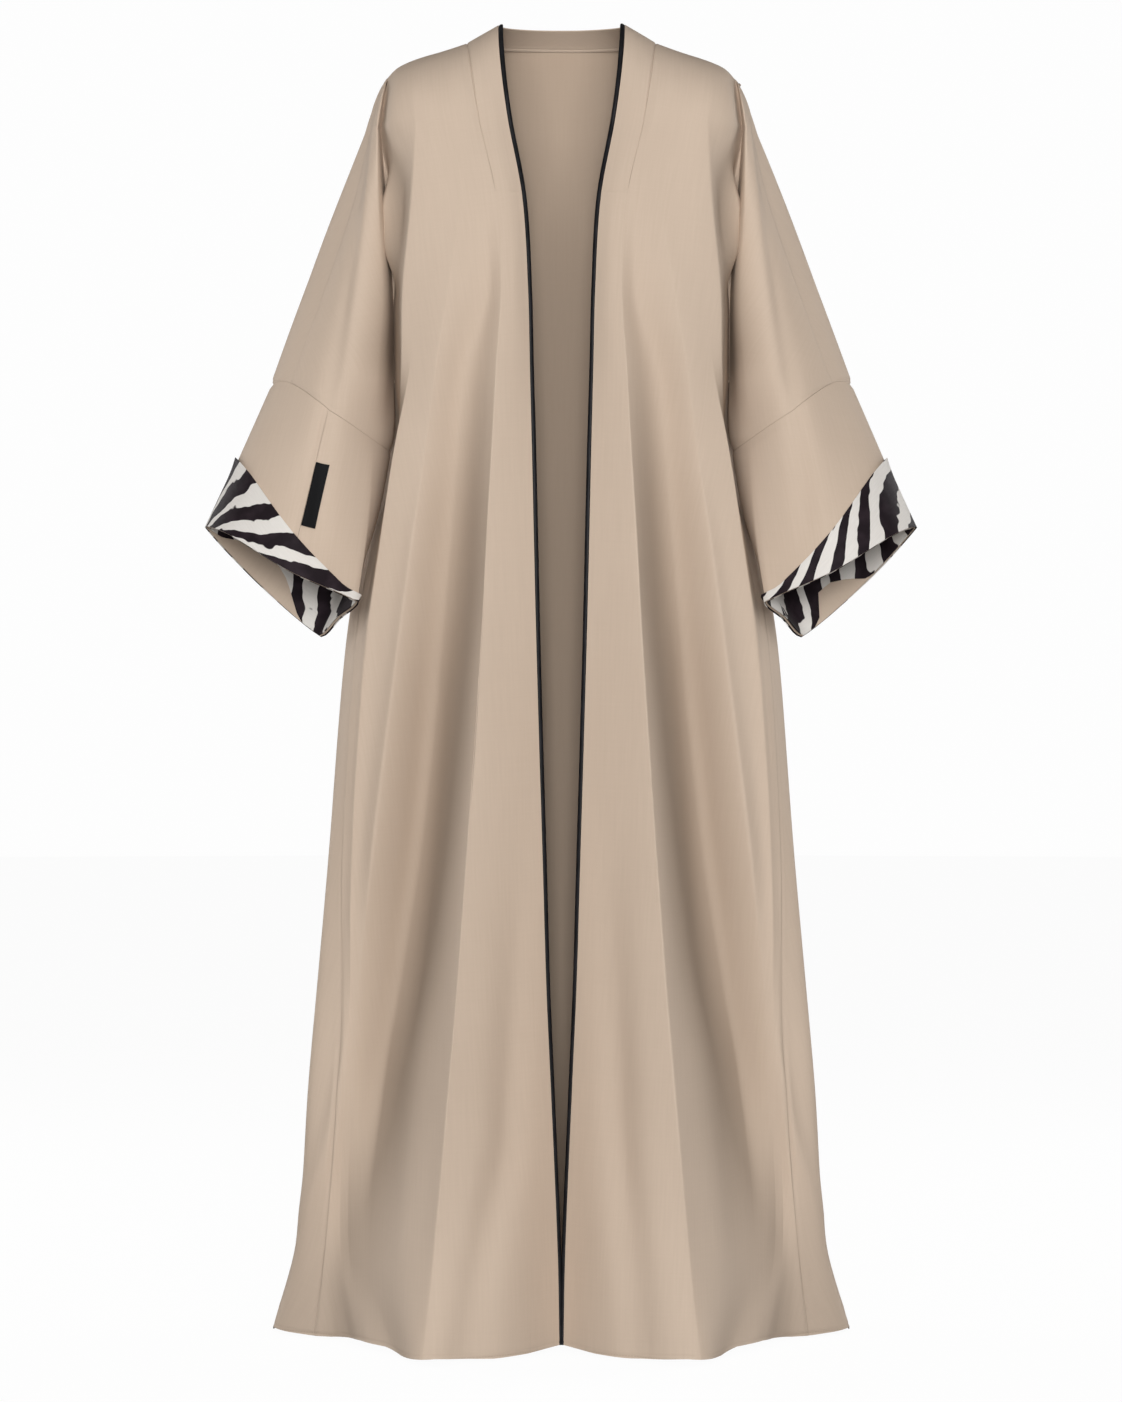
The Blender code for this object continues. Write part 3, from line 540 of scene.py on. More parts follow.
FOLDS = (
    # soft troughs in the inner front planes
    Fold(((0.04, -0.78), (0.0551, -1.2086), (0.0844, -1.3375), (0.105, -1.47), (0.125, -1.72)),
         -0.0085, 0.034, 0.034, sides=(-1,), fading=0.55),
    Fold(((0.044, -0.74), (0.0604, -1.2086), (0.074, -1.35), (0.084, -1.5), (0.095, -1.74)),
         -0.0095, 0.032, 0.034, sides=(1,), fading=0.55),
    # the main valley, deepened beside its crisp inner edge
    Fold(beside("main_fold", 0.05, LOWER), -0.004, 0.024, 0.034),
    # its lower side swelling out beside the edge
    Fold(beside("main_fold", 0.03, (-1.0, -1.12, -1.22, -1.33, -1.42)), 0.005, 0.026, 0.03,
         fading=0.35),
    # the valley's outer crest leaving the crease and crossing the side seam
    Fold(((0.23, -1.06), (0.235, -1.12), (0.245, -1.18), (0.258, -1.23), (0.276, -1.28),
          (0.3, -1.34)), 0.005, 0.036, 0.014, zones=(Zone.FRONT, Zone.BACK), crisp=True,
         fading=0.4),
    # long soft folds of the back
    Fold(((0.06, -0.45), (0.075, -0.8), (0.098, -1.15), (0.125, -1.46)), -0.008, 0.028, 0.034,
         zones=(Zone.BACK,), sides=(1,)),
    Fold(((0.03, -0.6), (0.045, -0.95), (0.066, -1.46)), 0.008, 0.024, 0.03,
         zones=(Zone.BACK,), sides=(-1,)),
    Fold(((0.15, -0.5), (0.168, -0.85), (0.195, -1.2), (0.22, -1.46)), -0.007, 0.026, 0.03,
         zones=(Zone.BACK,)),
    # and of the sleeves
    Fold(((0.212, -0.12), (0.224, -0.24), (0.24, -0.36)), -0.003, 0.011, 0.012,
         zones=(Zone.SLEEVE_FRONT,)),
    Fold(((0.232, -0.3), (0.252, -0.44), (0.268, -0.6)), -0.0035, 0.018, 0.02,
         zones=(Zone.SLEEVE_FRONT,)),
    Fold(((0.225, -0.22), (0.25, -0.42), (0.275, -0.62)), 0.0045, 0.018, 0.022,
         zones=(Zone.SLEEVE_BACK,)),
    # the narrow groove where the sleeve meets the body
    Fold(beside("seam", -0.002, (-0.13, -0.17, -0.21, -0.26, -0.32)), -0.008, 0.006, 0.008,
         fading=0.4),
    # the lit pleat in the valley beside that groove
    Fold(((0.182, -0.15), (0.18, -0.21), (0.1775, -0.3)), 0.016, 0.0085, 0.008, fading=0.4),
    # crisp crests with their far sides falling steeply
    Fold(beside("crease", 0.0, (-0.46, -0.56, -0.68, -0.8, -0.9, -1.0)), 0.0045, 0.055, 0.014,
         crisp=True),
    Fold(beside("outer_fold", 0.0, (-0.6, -0.72, -0.84, -0.96, -1.06)), 0.0025, 0.012, 0.008,
         crisp=True),
)

# How far the front hem is drawn up over the floor, by distance from the middle.
HEM_LIFT = (
    (0.0, 0.006), (0.035, 0.002), (0.07, 0.001), (0.13, 0.005), (0.15, 0.004), (0.168, 0.002),
    (0.186, 0.006), (0.215, 0.006), (0.25, 0.001), (0.27, 0.0), (0.3, 0.002), (0.315, 0.004),
)
HEM_LIFT_REACH = 0.1
HEM_LIFT_Y = 0.02           # only the hem in front of this is drawn up
RIPPLE = 0.0012             # height of the cloth's own unevenness
# Each layer of it as its share, its waves for each metre and its shift.
RIPPLE_LAYERS = ((1.0, (9, 9, 2.2), (0, 3.1, 0)), (0.35, (26, 26, 5.5), (7.7, 0, 0)))
CALM_EDGE = 0.02            # the unevenness dies out over this distance from the middle plane
CALM_SEAM = 1.2             # and the folds over this many cells of the solid from the shoulder seam


def ripple(place: Sequence[float]) -> float:
    """Cloth's own unevenness at a place: long and soft, drawn out downwards."""
    total = 0.0
    for share, waves, shift in RIPPLE_LAYERS:
        at = Vector([part * wave + by for part, wave, by in zip(place, waves, shift)])
        total += share * noise.noise(at)
    return RIPPLE * total


def drape(places: np.ndarray, normals: np.ndarray, zones: np.ndarray,
          fades: np.ndarray) -> np.ndarray:
    """Lay the folds and the cloth's unevenness into points.

    Args:
        places: Points, n x 3.
        normals: Outward direction at each point.
        zones: Zone value of each point.
        fades: Share of each fold that each point takes.

    Returns:
        The moved points.
    """
    lift = np.array([ripple(place) for place in places])
    front = zones == Zone.FRONT.value
    lift[front] *= np.clip(np.abs(places[front, 0]) / CALM_EDGE, 0.1, 1)
    for fold in FOLDS:
        in_zone = np.isin(zones, [zone.value for zone in fold.zones])
        on_side = np.isin(np.where(places[:, 0] < 0, -1, 1), fold.sides)
        mask = in_zone & on_side
        lift[mask] += fades[mask] * fold.height(np.abs(places[mask, 0]), places[mask, 2])
    moved = places + normals * lift[:, None]
    table = np.array(HEM_LIFT)
    near_hem = np.clip((HEM + HEM_LIFT_REACH - moved[:, 2]) / HEM_LIFT_REACH, 0, 1) ** 2
    drawn_up = np.interp(np.abs(moved[:, 0]), table[:, 0], table[:, 1]) * near_hem
    moved[:, 2] += np.where(moved[:, 1] < HEM_LIFT_Y, drawn_up, 0.0)
    return moved


# ---------------------------------------------------------------- the skin


def spreads(places: np.ndarray, quads: np.ndarray) -> np.ndarray:
    """Outward direction of each cell, as long as twice its area."""
    return np.cross(places[quads[:, 2]] - places[quads[:, 0]],
                    places[quads[:, 3]] - places[quads[:, 1]])


@dataclass
class Grid:
    """Rows and columns of points that belong together, with their places on the cut cloth."""

    first_row: int
    first_column: int
    places: np.ndarray
    key: Callable[[int, int], Key]
    zone: Callable[[int], Zone]
    piece: Callable[[Side, int, int], str]
    across_from: float = 0.0
    back_from: float = 0.0
    down_from: np.ndarray = field(default_factory=lambda: np.zeros(1))

    def __post_init__(self) -> None:
        """Measure the cloth across from both ends of each row, and down each column."""
        steps = np.linalg.norm(np.diff(self.places, axis=1), axis=2)
        from_first = np.cumsum(np.pad(steps, ((0, 0), (1, 0))), axis=1)
        self.across = self.across_from + from_first
        self.back_across = self.back_from + from_first[:, -1:] - from_first
        falls = np.linalg.norm(np.diff(self.places, axis=0), axis=2)
        self.down = self.down_from + np.cumsum(np.pad(falls, ((1, 0), (0, 0))), axis=0)


class Skin:
    """Outer face of sheets that share their points, with the cells of each piece."""

    def __init__(self) -> None:
        """Start without points."""
        self.index: dict[Key, int] = {}
        self.start: list[Sequence[float]] = []
        self.zone_of: list[int] = []
        self.fade_of: list[float] = []
        self.cells: dict[str, list[tuple[tuple[int, ...], tuple[Place, ...]]]] = {}
        self.places = np.zeros((0, 3))
        self.normals = np.zeros((0, 3))
        self.depths = np.zeros(0)

    def point(self, key: Key, place: Sequence[float], zone: Zone, fade: float) -> int:
        """Add a point, or find the one that another grid has put there."""
        if key not in self.index:
            self.index[key] = len(self.start)
            self.start.append(tuple(place))
            self.zone_of.append(zone.value)
            self.fade_of.append(fade)
        return self.index[key]

    def add_grid(self, side: Side, grid: Grid, back_names: tuple[str, ...] = ("back",)) -> None:
        """Add a grid's points and cells on one side.

        Args:
            side: Side of the body; the grid itself is given for the left.
            grid: The grid.
            back_names: Things whose width is counted from the grid's last column.
        """
        rows, columns = grid.places.shape[:2]
        number: dict[tuple[int, int], int] = {}
        for r in range(rows):
            for c in range(columns):
                row, column = grid.first_row + r, grid.first_column + c
                key = grid.key(row, column)
                middle = key[-1] == "middle"
                place = grid.places[r, c] * (1.0 if middle else side.value, 1.0, 1.0)
                fade = min(1.0, abs(OVER_COLUMN - column) / (CALM_SEAM * FINER))
                number[r, c] = self.point(key if middle else (side, *key), place,
                                          grid.zone(column), fade)
        for r in range(rows - 1):
            for c in range(columns - 1):
                name = grid.piece(side, grid.first_row + r, grid.first_column + c)
                across = grid.back_across if name in back_names else grid.across
                corners = [(r, c), (r + 1, c), (r + 1, c + 1), (r, c + 1)]
                if side is Side.RIGHT:
                    corners.reverse()
                cell = tuple(number[corner] for corner in corners)
                cut = tuple((float(across[corner]), float(grid.down[corner])) for corner in corners)
                self.cells.setdefault(name, []).append((cell, cut))

    def quads(self) -> np.ndarray:
        """Point numbers of every cell."""
        return np.array([cell for cells in self.cells.values() for cell, _ in cells])

    def face_normals(self, places: np.ndarray) -> np.ndarray:
        """Outward direction at each point, from every cell that meets there."""
        quads = self.quads()
        cross = spreads(places, quads)
        total = np.zeros_like(places)
        for k in range(4):
            np.add.at(total, quads[:, k], cross)
        return total / np.maximum(np.linalg.norm(total, axis=1, keepdims=True), NOTHING)

    def open_of(self, i: int) -> float:
        """Share of the seam gap at a point: less at the front band's end and the shoulder's tip."""
        x, y, z = self.places[i]
        tip_x, tip_z = SHOULDER_LINE[-1]
        at_end = abs(z - BAND_END) < BAND_END_REACH and abs(x) < BAND_END_X and y < 0
        at_tip = abs(x) > tip_x - TIP_REACH and z > tip_z - TIP_REACH
        return NARROW_GAP if at_end or at_tip else 1.0

    def finish(self, sink: Optional[np.ndarray] = None) -> None:
        """Lay in the folds, sink the seams and work out the final points and normals."""
        start = np.array(self.start)
        normals = self.face_normals(start)
        self.places = drape(start, normals, np.array(self.zone_of), np.array(self.fade_of))
        if sink is not None:
            self.places -= normals * sink[:, None]
        self.normals = self.face_normals(self.places)
        self.depths = np.zeros(len(start))


def piece_name(side: Side, row: int, column: int) -> str:
    """Piece that a cell of the upper body or skirt belongs to."""
    if row < BAND_END_ROW and column < BAND_CELLS:
        return "front_band_" + side.word
    return "front_" + side.word if column < OVER_COLUMN else "back"


def sleeve_piece_name(side: Side, row: int, column: int) -> str:
    """Piece that a cell of the sleeve belongs to."""
    if row < ELBOW_ROW:
        return piece_name(side, row, column)
    if side is Side.LEFT:
        return "lower_sleeve_left"
    return "lower_sleeve_right_front" if column < LABEL_COLUMN else "lower_sleeve_right_back"


def zone_of_column(column: int) -> Zone:
    """Zone that a column of the body or sleeve lies in."""
    if column < SEAM_COLUMN:
        return Zone.FRONT
    if column <= OVER_COLUMN:
        return Zone.SLEEVE_FRONT
    return Zone.SLEEVE_BACK if column <= BACK_SEAM_COLUMN else Zone.BACK


def body_key(row: int, column: int) -> Key:
    """Key of a body point, so that lines that meet share their points."""
    if row == 0 and OVER_COLUMN < column <= NECK_COLUMN:
        column = 2 * OVER_COLUMN - column
    if row >= UNDERARM_ROW and column == BACK_SEAM_COLUMN:
        column = SEAM_COLUMN
    key = ("body", row, column)
    return (*key, "middle") if column == CENTRE_COLUMN else key


def arm_key(row: int, column: int) -> Key:
    """Key of a sleeve point."""
    if row == UNDERARM_ROW:
        return body_key(row, column)
    return ("arm", row, SEAM_COLUMN if column == BACK_SEAM_COLUMN else column)


def neck_key(across: int, column: int) -> Key:
    """Key of a neckband point."""
    if column == NECK_COLUMN:
        return body_key(0, across)
    if across == BAND_CELLS:
        return body_key(0, column)
    key = ("neck", across, column)
    return (*key, "middle") if column == CENTRE_COLUMN else key


def lies_behind(middle: Place, before: Place, after: Place) -> bool:
    """Whether a point (x, outward) is behind the thread from one before it to one after it."""
    return ((middle[1] - before[1]) * (after[0] - before[0])
            <= (after[1] - before[1]) * (middle[0] - before[0]))


@dataclass
class CloakShape:
    """Shape of the whole worn cloak, its folds laid in and its seams sunk."""

    seam_sink: float = 0.0017
    side_share: float = 0.6
    hem_sink: float = 0.0004
    hem_rows: int = 2
    neck_hem_cells: int = 3
    band_start: float = 0.3
    band_rows: int = 10
    band_end_rows: int = 8
    shoulder_rows: int = 12
    yoke_passes: int = 24
    depth_passes: int = 3
    skin: Skin = field(default_factory=Skin)
    sleeve: Sleeve = field(default_factory=Sleeve)

    def build(self) -> Skin:
        """Work out the skin of both sides."""
        for side in Side:
            for grid in self.grids():
                self.skin.add_grid(side, grid)
        self.skin.finish(self.sink())
        # depths by which the crepe paints shade into the folds
        self.skin.depths = self.fold_depths()
        return self.skin

    def fold_depths(self) -> np.ndarray:
        """How far each point of the front lies behind a thread drawn tight over its row."""
        skin = self.skin
        depths = np.zeros(len(skin.places))
        for side in Side:
            for row in range(2, HEM_ROW + 1):
                last = OVER_COLUMN if row < UNDERARM_ROW else SEAM_COLUMN
                ids = [skin.index[side, *body_key(row, column)] for column in range(last + 1)]
                line = sorted((abs(skin.places[i][0]), -skin.places[i][1]) for i in ids)
                tight: list[Place] = []
                for x, out in line:
                    while len(tight) > 1 and lies_behind(tight[-1], tight[-2], (x, out)):
                        tight.pop()
                    tight.append((x, out))
                held = np.interp(np.abs(skin.places[ids, 0]), *np.array(tight).T)
                depths[ids] = np.maximum(0.0, held + skin.places[ids, 1])
        quads = skin.quads()
        share = np.maximum(np.bincount(quads.ravel(), minlength=len(depths)), 1)
        for _ in range(self.depth_passes):
            middle = depths[quads].mean(axis=1)
            depths = sum(np.bincount(quads[:, k], middle, len(depths)) for k in range(4)) / share
        return depths

    def grids(self) -> list[Grid]:
        """Upper body, skirt front, skirt back, sleeve and neckband of the wearer's left."""
        foot = upper_ring(YOKE_FOOT)
        yoke = [[yoke_point(c, foot[c], row / YOKE_ROWS) for c in range(CENTRE_COLUMN + 1)]
                for row in range(YOKE_ROWS)]
        for _ in range(self.yoke_passes):
            for line in yoke[1:]:
                line[YOKE_EASED] = [a * 0.25 + b * 0.5 + c * 0.25 for a, b, c in
                                    zip(line[YOKE_EASED.start - 1:], line[YOKE_EASED],
                                        line[YOKE_EASED.start + 1:])]
        rings = [upper_ring(row_height(row)) for row in range(YOKE_ROWS, UNDERARM_ROW + 1)]
        skirt = np.array([skirt_ring(row_height(row)) for row in range(UNDERARM_ROW, HEM_ROW + 1)])
        arm = [[self.sleeve.point(c, row) for c in range(SEAM_COLUMN, BACK_SEAM_COLUMN + 1)]
               for row in range(UNDERARM_ROW, SLEEVE_END_ROW + 1)]
        neck = [[neck_point(a / BAND_CELLS, k / NECK_CELLS) for k in range(NECK_CELLS + 1)]
                for a in range(BAND_CELLS + 1)]
        upper = Grid(0, 0, np.array(yoke + rings), body_key, zone_of_column, piece_name)
        last = upper.down[-1]
        front = Grid(UNDERARM_ROW, 0, skirt[:, :SEAM_COLUMN + 1], body_key, zone_of_column,
                     piece_name, down_from=last[:SEAM_COLUMN + 1])
        back = Grid(UNDERARM_ROW, BACK_SEAM_COLUMN, skirt[:, SEAM_COLUMN:], body_key,
                    zone_of_column, piece_name, down_from=last[BACK_SEAM_COLUMN:])
        sleeve = Grid(UNDERARM_ROW, SEAM_COLUMN, np.array(arm), arm_key, zone_of_column,
                      sleeve_piece_name, upper.across[-1, SEAM_COLUMN],
                      upper.back_across[-1, BACK_SEAM_COLUMN],
                      last[SEAM_COLUMN:BACK_SEAM_COLUMN + 1])
        band = Grid(0, NECK_COLUMN, np.array(neck), neck_key, lambda column: Zone.NECK,
                    lambda side, row, column: "neckband")
        return [upper, front, back, sleeve, band]

    def sink(self) -> np.ndarray:
        """How far each point is drawn in at a seam between two pieces or where a hem is turned."""
        sink = np.zeros(len(self.skin.start))
        for key, i in self.skin.index.items():
            side, (where, row, column) = key[0], key[1:4] if isinstance(key[0], Side) else key[:3]
            if where == "arm":
                label_seam = side is Side.RIGHT and column == LABEL_COLUMN and row > ELBOW_ROW
                if (row == ELBOW_ROW or (column == SEAM_COLUMN and row < SLEEVE_END_ROW)
                        or (column == OVER_COLUMN and row < ELBOW_ROW) or label_seam):
                    sink[i] = self.seam_sink
            elif where == "body":
                if column == BAND_CELLS and row < BAND_END_ROW:
                    to_end = max(0.0, min(1.0, (BAND_END_ROW - row) / self.band_end_rows))
                    from_top = min(1.0, self.band_start + row / self.band_rows)
                    sink[i] = self.seam_sink * to_end * from_top
                if column == OVER_COLUMN:
                    sink[i] = self.seam_sink * min(1.0, row / self.shoulder_rows)
                if column == SEAM_COLUMN and row >= UNDERARM_ROW:
                    sink[i] = self.seam_sink * self.side_share
                if row == HEM_ROW - self.hem_rows:
                    sink[i] += self.hem_sink
                if row == 0 and column >= NECK_COLUMN:
                    sink[i] = self.seam_sink
            elif where == "neck" and row == BAND_CELLS - self.neck_hem_cells:
                sink[i] = self.hem_sink
        return sink


# ---------------------------------------------------------------- sheets of cloth

INNER = "wrong_side"        # attribute that is 1 on the wrong side of a sheet, where the back's crepe is painted darker as shade
DEPTH = "fold_depth"        # attribute that tells how deep a point lies between the folds' crests, which the crepe darkens by as painted shade
LEAST_OVERLAP = 0.35        # keeps a sharp corner of a piece from drawing back too far


def add_object(name: str, data: bpy.types.ID) -> Thing:
    """Add an object to the scene."""
    thing = bpy.data.objects.new(name, data)
    bpy.context.scene.collection.objects.link(thing)
    return thing


def make_mesh(name: str, points: list, faces: list, cuts: list, finish: Material) -> bpy.types.Mesh:
    """Make a smooth mesh.

    Args:
        name: Mesh's name.
        points: Its points.
        faces: Point numbers of each face.
        cuts: Place on the cut cloth of each corner of each face.
        finish: Material.

    Returns:
        The mesh.
    """
    mesh = bpy.data.meshes.new(name)
    mesh.from_pydata(points, [], faces)
    mesh.uv_layers.new(name="cut").data.foreach_set("uv", np.array(cuts, dtype=float).ravel())
    mesh.materials.append(finish)
    mesh.shade_smooth()
    return mesh


def store(mesh: bpy.types.Mesh, name: str, values: Sequence[float]) -> None:
    """Store a value at each point of a mesh."""
    mesh.attributes.new(name, "FLOAT", "POINT").data.foreach_set("value", values)


def border_of(cells: Sequence[tuple[int, ...]]) -> dict[tuple[int, int], tuple[int, ...]]:
    """Edges that only one cell of the piece has, in that cell's direction, with the cell."""
    edges = {}
    for cell in cells:
        ring = [c for c, after in zip(cell, cell[1:] + cell[:1]) if c != after]
        for a, b in zip(ring, ring[1:] + ring[:1]):
            edges[a, b] = cell
    return {edge: cell for edge, cell in edges.items() if (edge[1], edge[0]) not in edges}


def seam_shifts(skin: Skin, border: dict, gap: float) -> dict[int, np.ndarray]:
    """Work out how border points draw back into their piece, along the cloth.

    Args:
        skin: Skin that the piece is part of.
        border: The piece's border edges with their cells.
        gap: Width of the gap between sewn pieces.

    Returns:
        The shift of each border point.
    """
    inward: dict[int, list[np.ndarray]] = {}
    for (a, b), cell in border.items():
        middle = skin.places[list(cell)].mean(axis=0)
        along = skin.places[b] - skin.places[a]
        across = middle - skin.places[a]
        across = across - along * (across @ along) / max(along @ along, NOTHING)
        across /= max(np.linalg.norm(across), NOTHING)
        inward.setdefault(a, []).append(across)
        inward.setdefault(b, []).append(across)
    shifts = {}
    for i, ways in inward.items():
        level = [way - skin.normals[i] * (way @ skin.normals[i]) for way in ways]
        overlap = 1 + level[0] @ level[-1] if len(level) > 1 else 1.0
        shifts[i] = sum(level) * (gap / 2) * skin.open_of(i) / max(overlap, LEAST_OVERLAP)
    return shifts


def make_sheet(name: str, skin: Skin, cells: list, near: Callable[[int], float],
               far: Callable[[int], float], finish: Material, gap: float = 0.0) -> Thing:
    """Make one sheet of cloth as a closed shell with its places on the cut cloth as its UV map.

    Args:
        name: Object's name.
        skin: Skin that carries it.
        cells: The piece's cells with their places on the cut cloth.
        near: Distance of the inner face out from the skin at each point.
        far: Distance of the outer face.
        finish: Material.
        gap: Gap to the pieces that it is sewn to.

    Returns:
        The object, its place in its mesh.
    """
    border = border_of([cell for cell, _ in cells])
    shifts = seam_shifts(skin, border, gap) if gap else {}
    used = sorted({i for cell, _ in cells for i in cell})
    slot = {i: k for k, i in enumerate(used)}
    count = len(used)
    base = skin.places[used] + np.array([shifts.get(i, np.zeros(3)) for i in used])
    normals = skin.normals[used]
    outer = base + normals * np.array([far(i) for i in used])[:, None]
    inner = base + normals * np.array([near(i) for i in used])[:, None]
    faces, cuts, loops = [], [], []
    cut_at: dict[int, Place] = {}
    for cell, cut in cells:
        ring = [(slot[i], uv) for k, (i, uv) in enumerate(zip(cell, cut)) if i != cell[k - 1]]
        if len(ring) < 3:
            continue
        cut_at.update({i: uv for i, uv in zip(cell, cut)})
        for way, shift, sign in ((ring, 0, 1.0), (ring[::-1], count, -1.0)):
            faces.append([k + shift for k, _ in way])
            cuts += [uv for _, uv in way]
            loops += [tuple(sign * normals[k]) for k, _ in way]
    for a, b in border:
        ka, kb = slot[a], slot[b]
        faces.append([kb, ka, ka + count, kb + count])
        cuts += [cut_at[b], cut_at[a], cut_at[a], cut_at[b]]
        edge = np.cross(outer[kb] - outer[ka], normals[ka])
        edge /= max(np.linalg.norm(edge), NOTHING)
        loops += [tuple(edge)] * 4
    points = np.vstack([outer, inner]).tolist()
    mesh = make_mesh(name + "_cloth", points, faces, cuts, finish)
    store(mesh, INNER, [0.0] * count + [1.0] * count)
    store(mesh, DEPTH, np.concatenate([skin.depths[used], np.zeros(count)]))
    mesh.normals_split_custom_set(loops)
    return add_object(mesh.name, mesh)


# ---------------------------------------------------------------- finishes


@dataclass(frozen=True)
class Wire:
    """Output of a node, which sums can be done with."""

    graph: "Graph"
    socket: Socket

    def __add__(self, other: "Wire | float") -> "Wire":
        """Sum."""
        return self.graph.maths("ADD", self, other)

    def __sub__(self, other: "Wire | float") -> "Wire":
        """Difference."""
        return self.graph.maths("SUBTRACT", self, other)

    def __rsub__(self, other: float) -> "Wire":
        """Difference from a number."""
        return self.graph.maths("SUBTRACT", other, self)

    def __mul__(self, other: "Wire | float") -> "Wire":
        """Product."""
        return self.graph.maths("MULTIPLY", self, other)

    def __truediv__(self, other: "Wire | float") -> "Wire":
        """Quotient."""
        return self.graph.maths("DIVIDE", self, other)


def scaled(colour: Colour, by: float) -> Colour:
    """Colour made lighter or darker."""
    return tuple(part * by for part in colour)


class Graph:
    """Node tree of one finish, with short ways to add its nodes."""

    def __init__(self, name: str) -> None:
        """Start a material with its shader."""
        self.material = bpy.data.materials.new(name)
        self.material.use_nodes = True
        self.nodes = self.material.node_tree.nodes
        self.shader = self.nodes["Principled BSDF"]

    def put(self, target: Socket, value: object) -> None:
        """Link a wire to a socket, or set the socket to a plain value."""
        if isinstance(value, Wire):
            self.material.node_tree.links.new(value.socket, target)
        else:
            target.default_value = value

    def add(self, kind: str, output: object, inputs: dict, **settings: str) -> Wire:
        """Add a node.

        Args:
            kind: End of the node type's name.
            output: Name or number of the output that is wanted.
            inputs: Value or wire for each input, by name or number.
            settings: The node's own settings.

        Returns:
            The output.
        """
        node = self.nodes.new("ShaderNode" + kind)
        for name, value in settings.items():
            setattr(node, name, value)
        for name, value in inputs.items():
            self.put(node.inputs[name], value)
        return Wire(self, node.outputs[output])

    def maths(self, operation: str, *values: object) -> Wire:
        """One sum on one to three values."""
        return self.add("Math", 0, dict(enumerate(values)), operation=operation)

    def sine(self, angle: Wire) -> Wire:
        """Sine of an angle."""
        return self.maths("SINE", angle)

    def least(self, first: Wire, second: object) -> Wire:
        """The smaller of two values."""
        return self.maths("MINIMUM", first, second)

    def coordinates(self, kind: str, scale: Sequence[float] = (1, 1, 1),
                    shift: Sequence[float] = (0, 0, 0)) -> Wire:
        """Object or UV coordinates, shifted and then stretched."""
        source = self.add("TexCoord", kind, {})
        moved = self.add("Mapping", 0, {"Vector": source, "Location": shift})
        return self.add("Mapping", 0, {"Vector": moved, "Scale": scale})

    def attribute(self, name: str) -> Wire:
        """Value stored at the points of the mesh."""
        return self.add("Attribute", "Fac", {}, attribute_name=name)

    def noise(self, vector: Wire, scale: float, detail: float = 2.0) -> Wire:
        """Soft noise, 0 to 1."""
        return self.add("TexNoise", "Fac", {"Vector": vector, "Scale": scale, "Detail": detail})

    def split(self, vector: Wire) -> list[Wire]:
        """The three parts of a vector."""
        node = self.add("SeparateXYZ", 0, {0: vector}).socket.node
        return [Wire(self, socket) for socket in node.outputs]

    def remap(self, value: Wire, low: float, high: float, to_low: float = 0.0,
              to_high: float = 1.0) -> Wire:
        """Value brought from one range to another and clamped there."""
        return self.add("MapRange", "Result", {"Value": value, "From Min": low, "From Max": high,
                                               "To Min": to_low, "To Max": to_high})

    def blend(self, share: object, first: object, second: object) -> Wire:
        """Colour between two colours."""
        first, second = ((*value, 1.0) if isinstance(value, tuple) else value
                         for value in (first, second))
        return self.add("Mix", 2, {"Factor": share, 6: first, 7: second}, data_type="RGBA")

    def bump(self, height: Wire, distance: float, strength: float = 1.0,
             under: Optional[Wire] = None) -> Wire:
        """Relief laid over the relief given under it."""
        inputs = {"Distance": distance, "Strength": strength, "Height": height}
        return self.add("Bump", "Normal", inputs if under is None else {**inputs, "Normal": under})

    def settle(self, colour: Wire, roughness: object, normal: Optional[Wire],
               **constants: float) -> Material:
        """Fill the shader's sockets and hand over the material."""
        self.put(self.shader.inputs["Base Color"], colour)
        self.put(self.shader.inputs["Roughness"], roughness)
        if normal is not None:
            self.put(self.shader.inputs["Normal"], normal)
        for name, value in constants.items():
            self.shader.inputs[name.replace("_", " ")].default_value = value
        return self.material


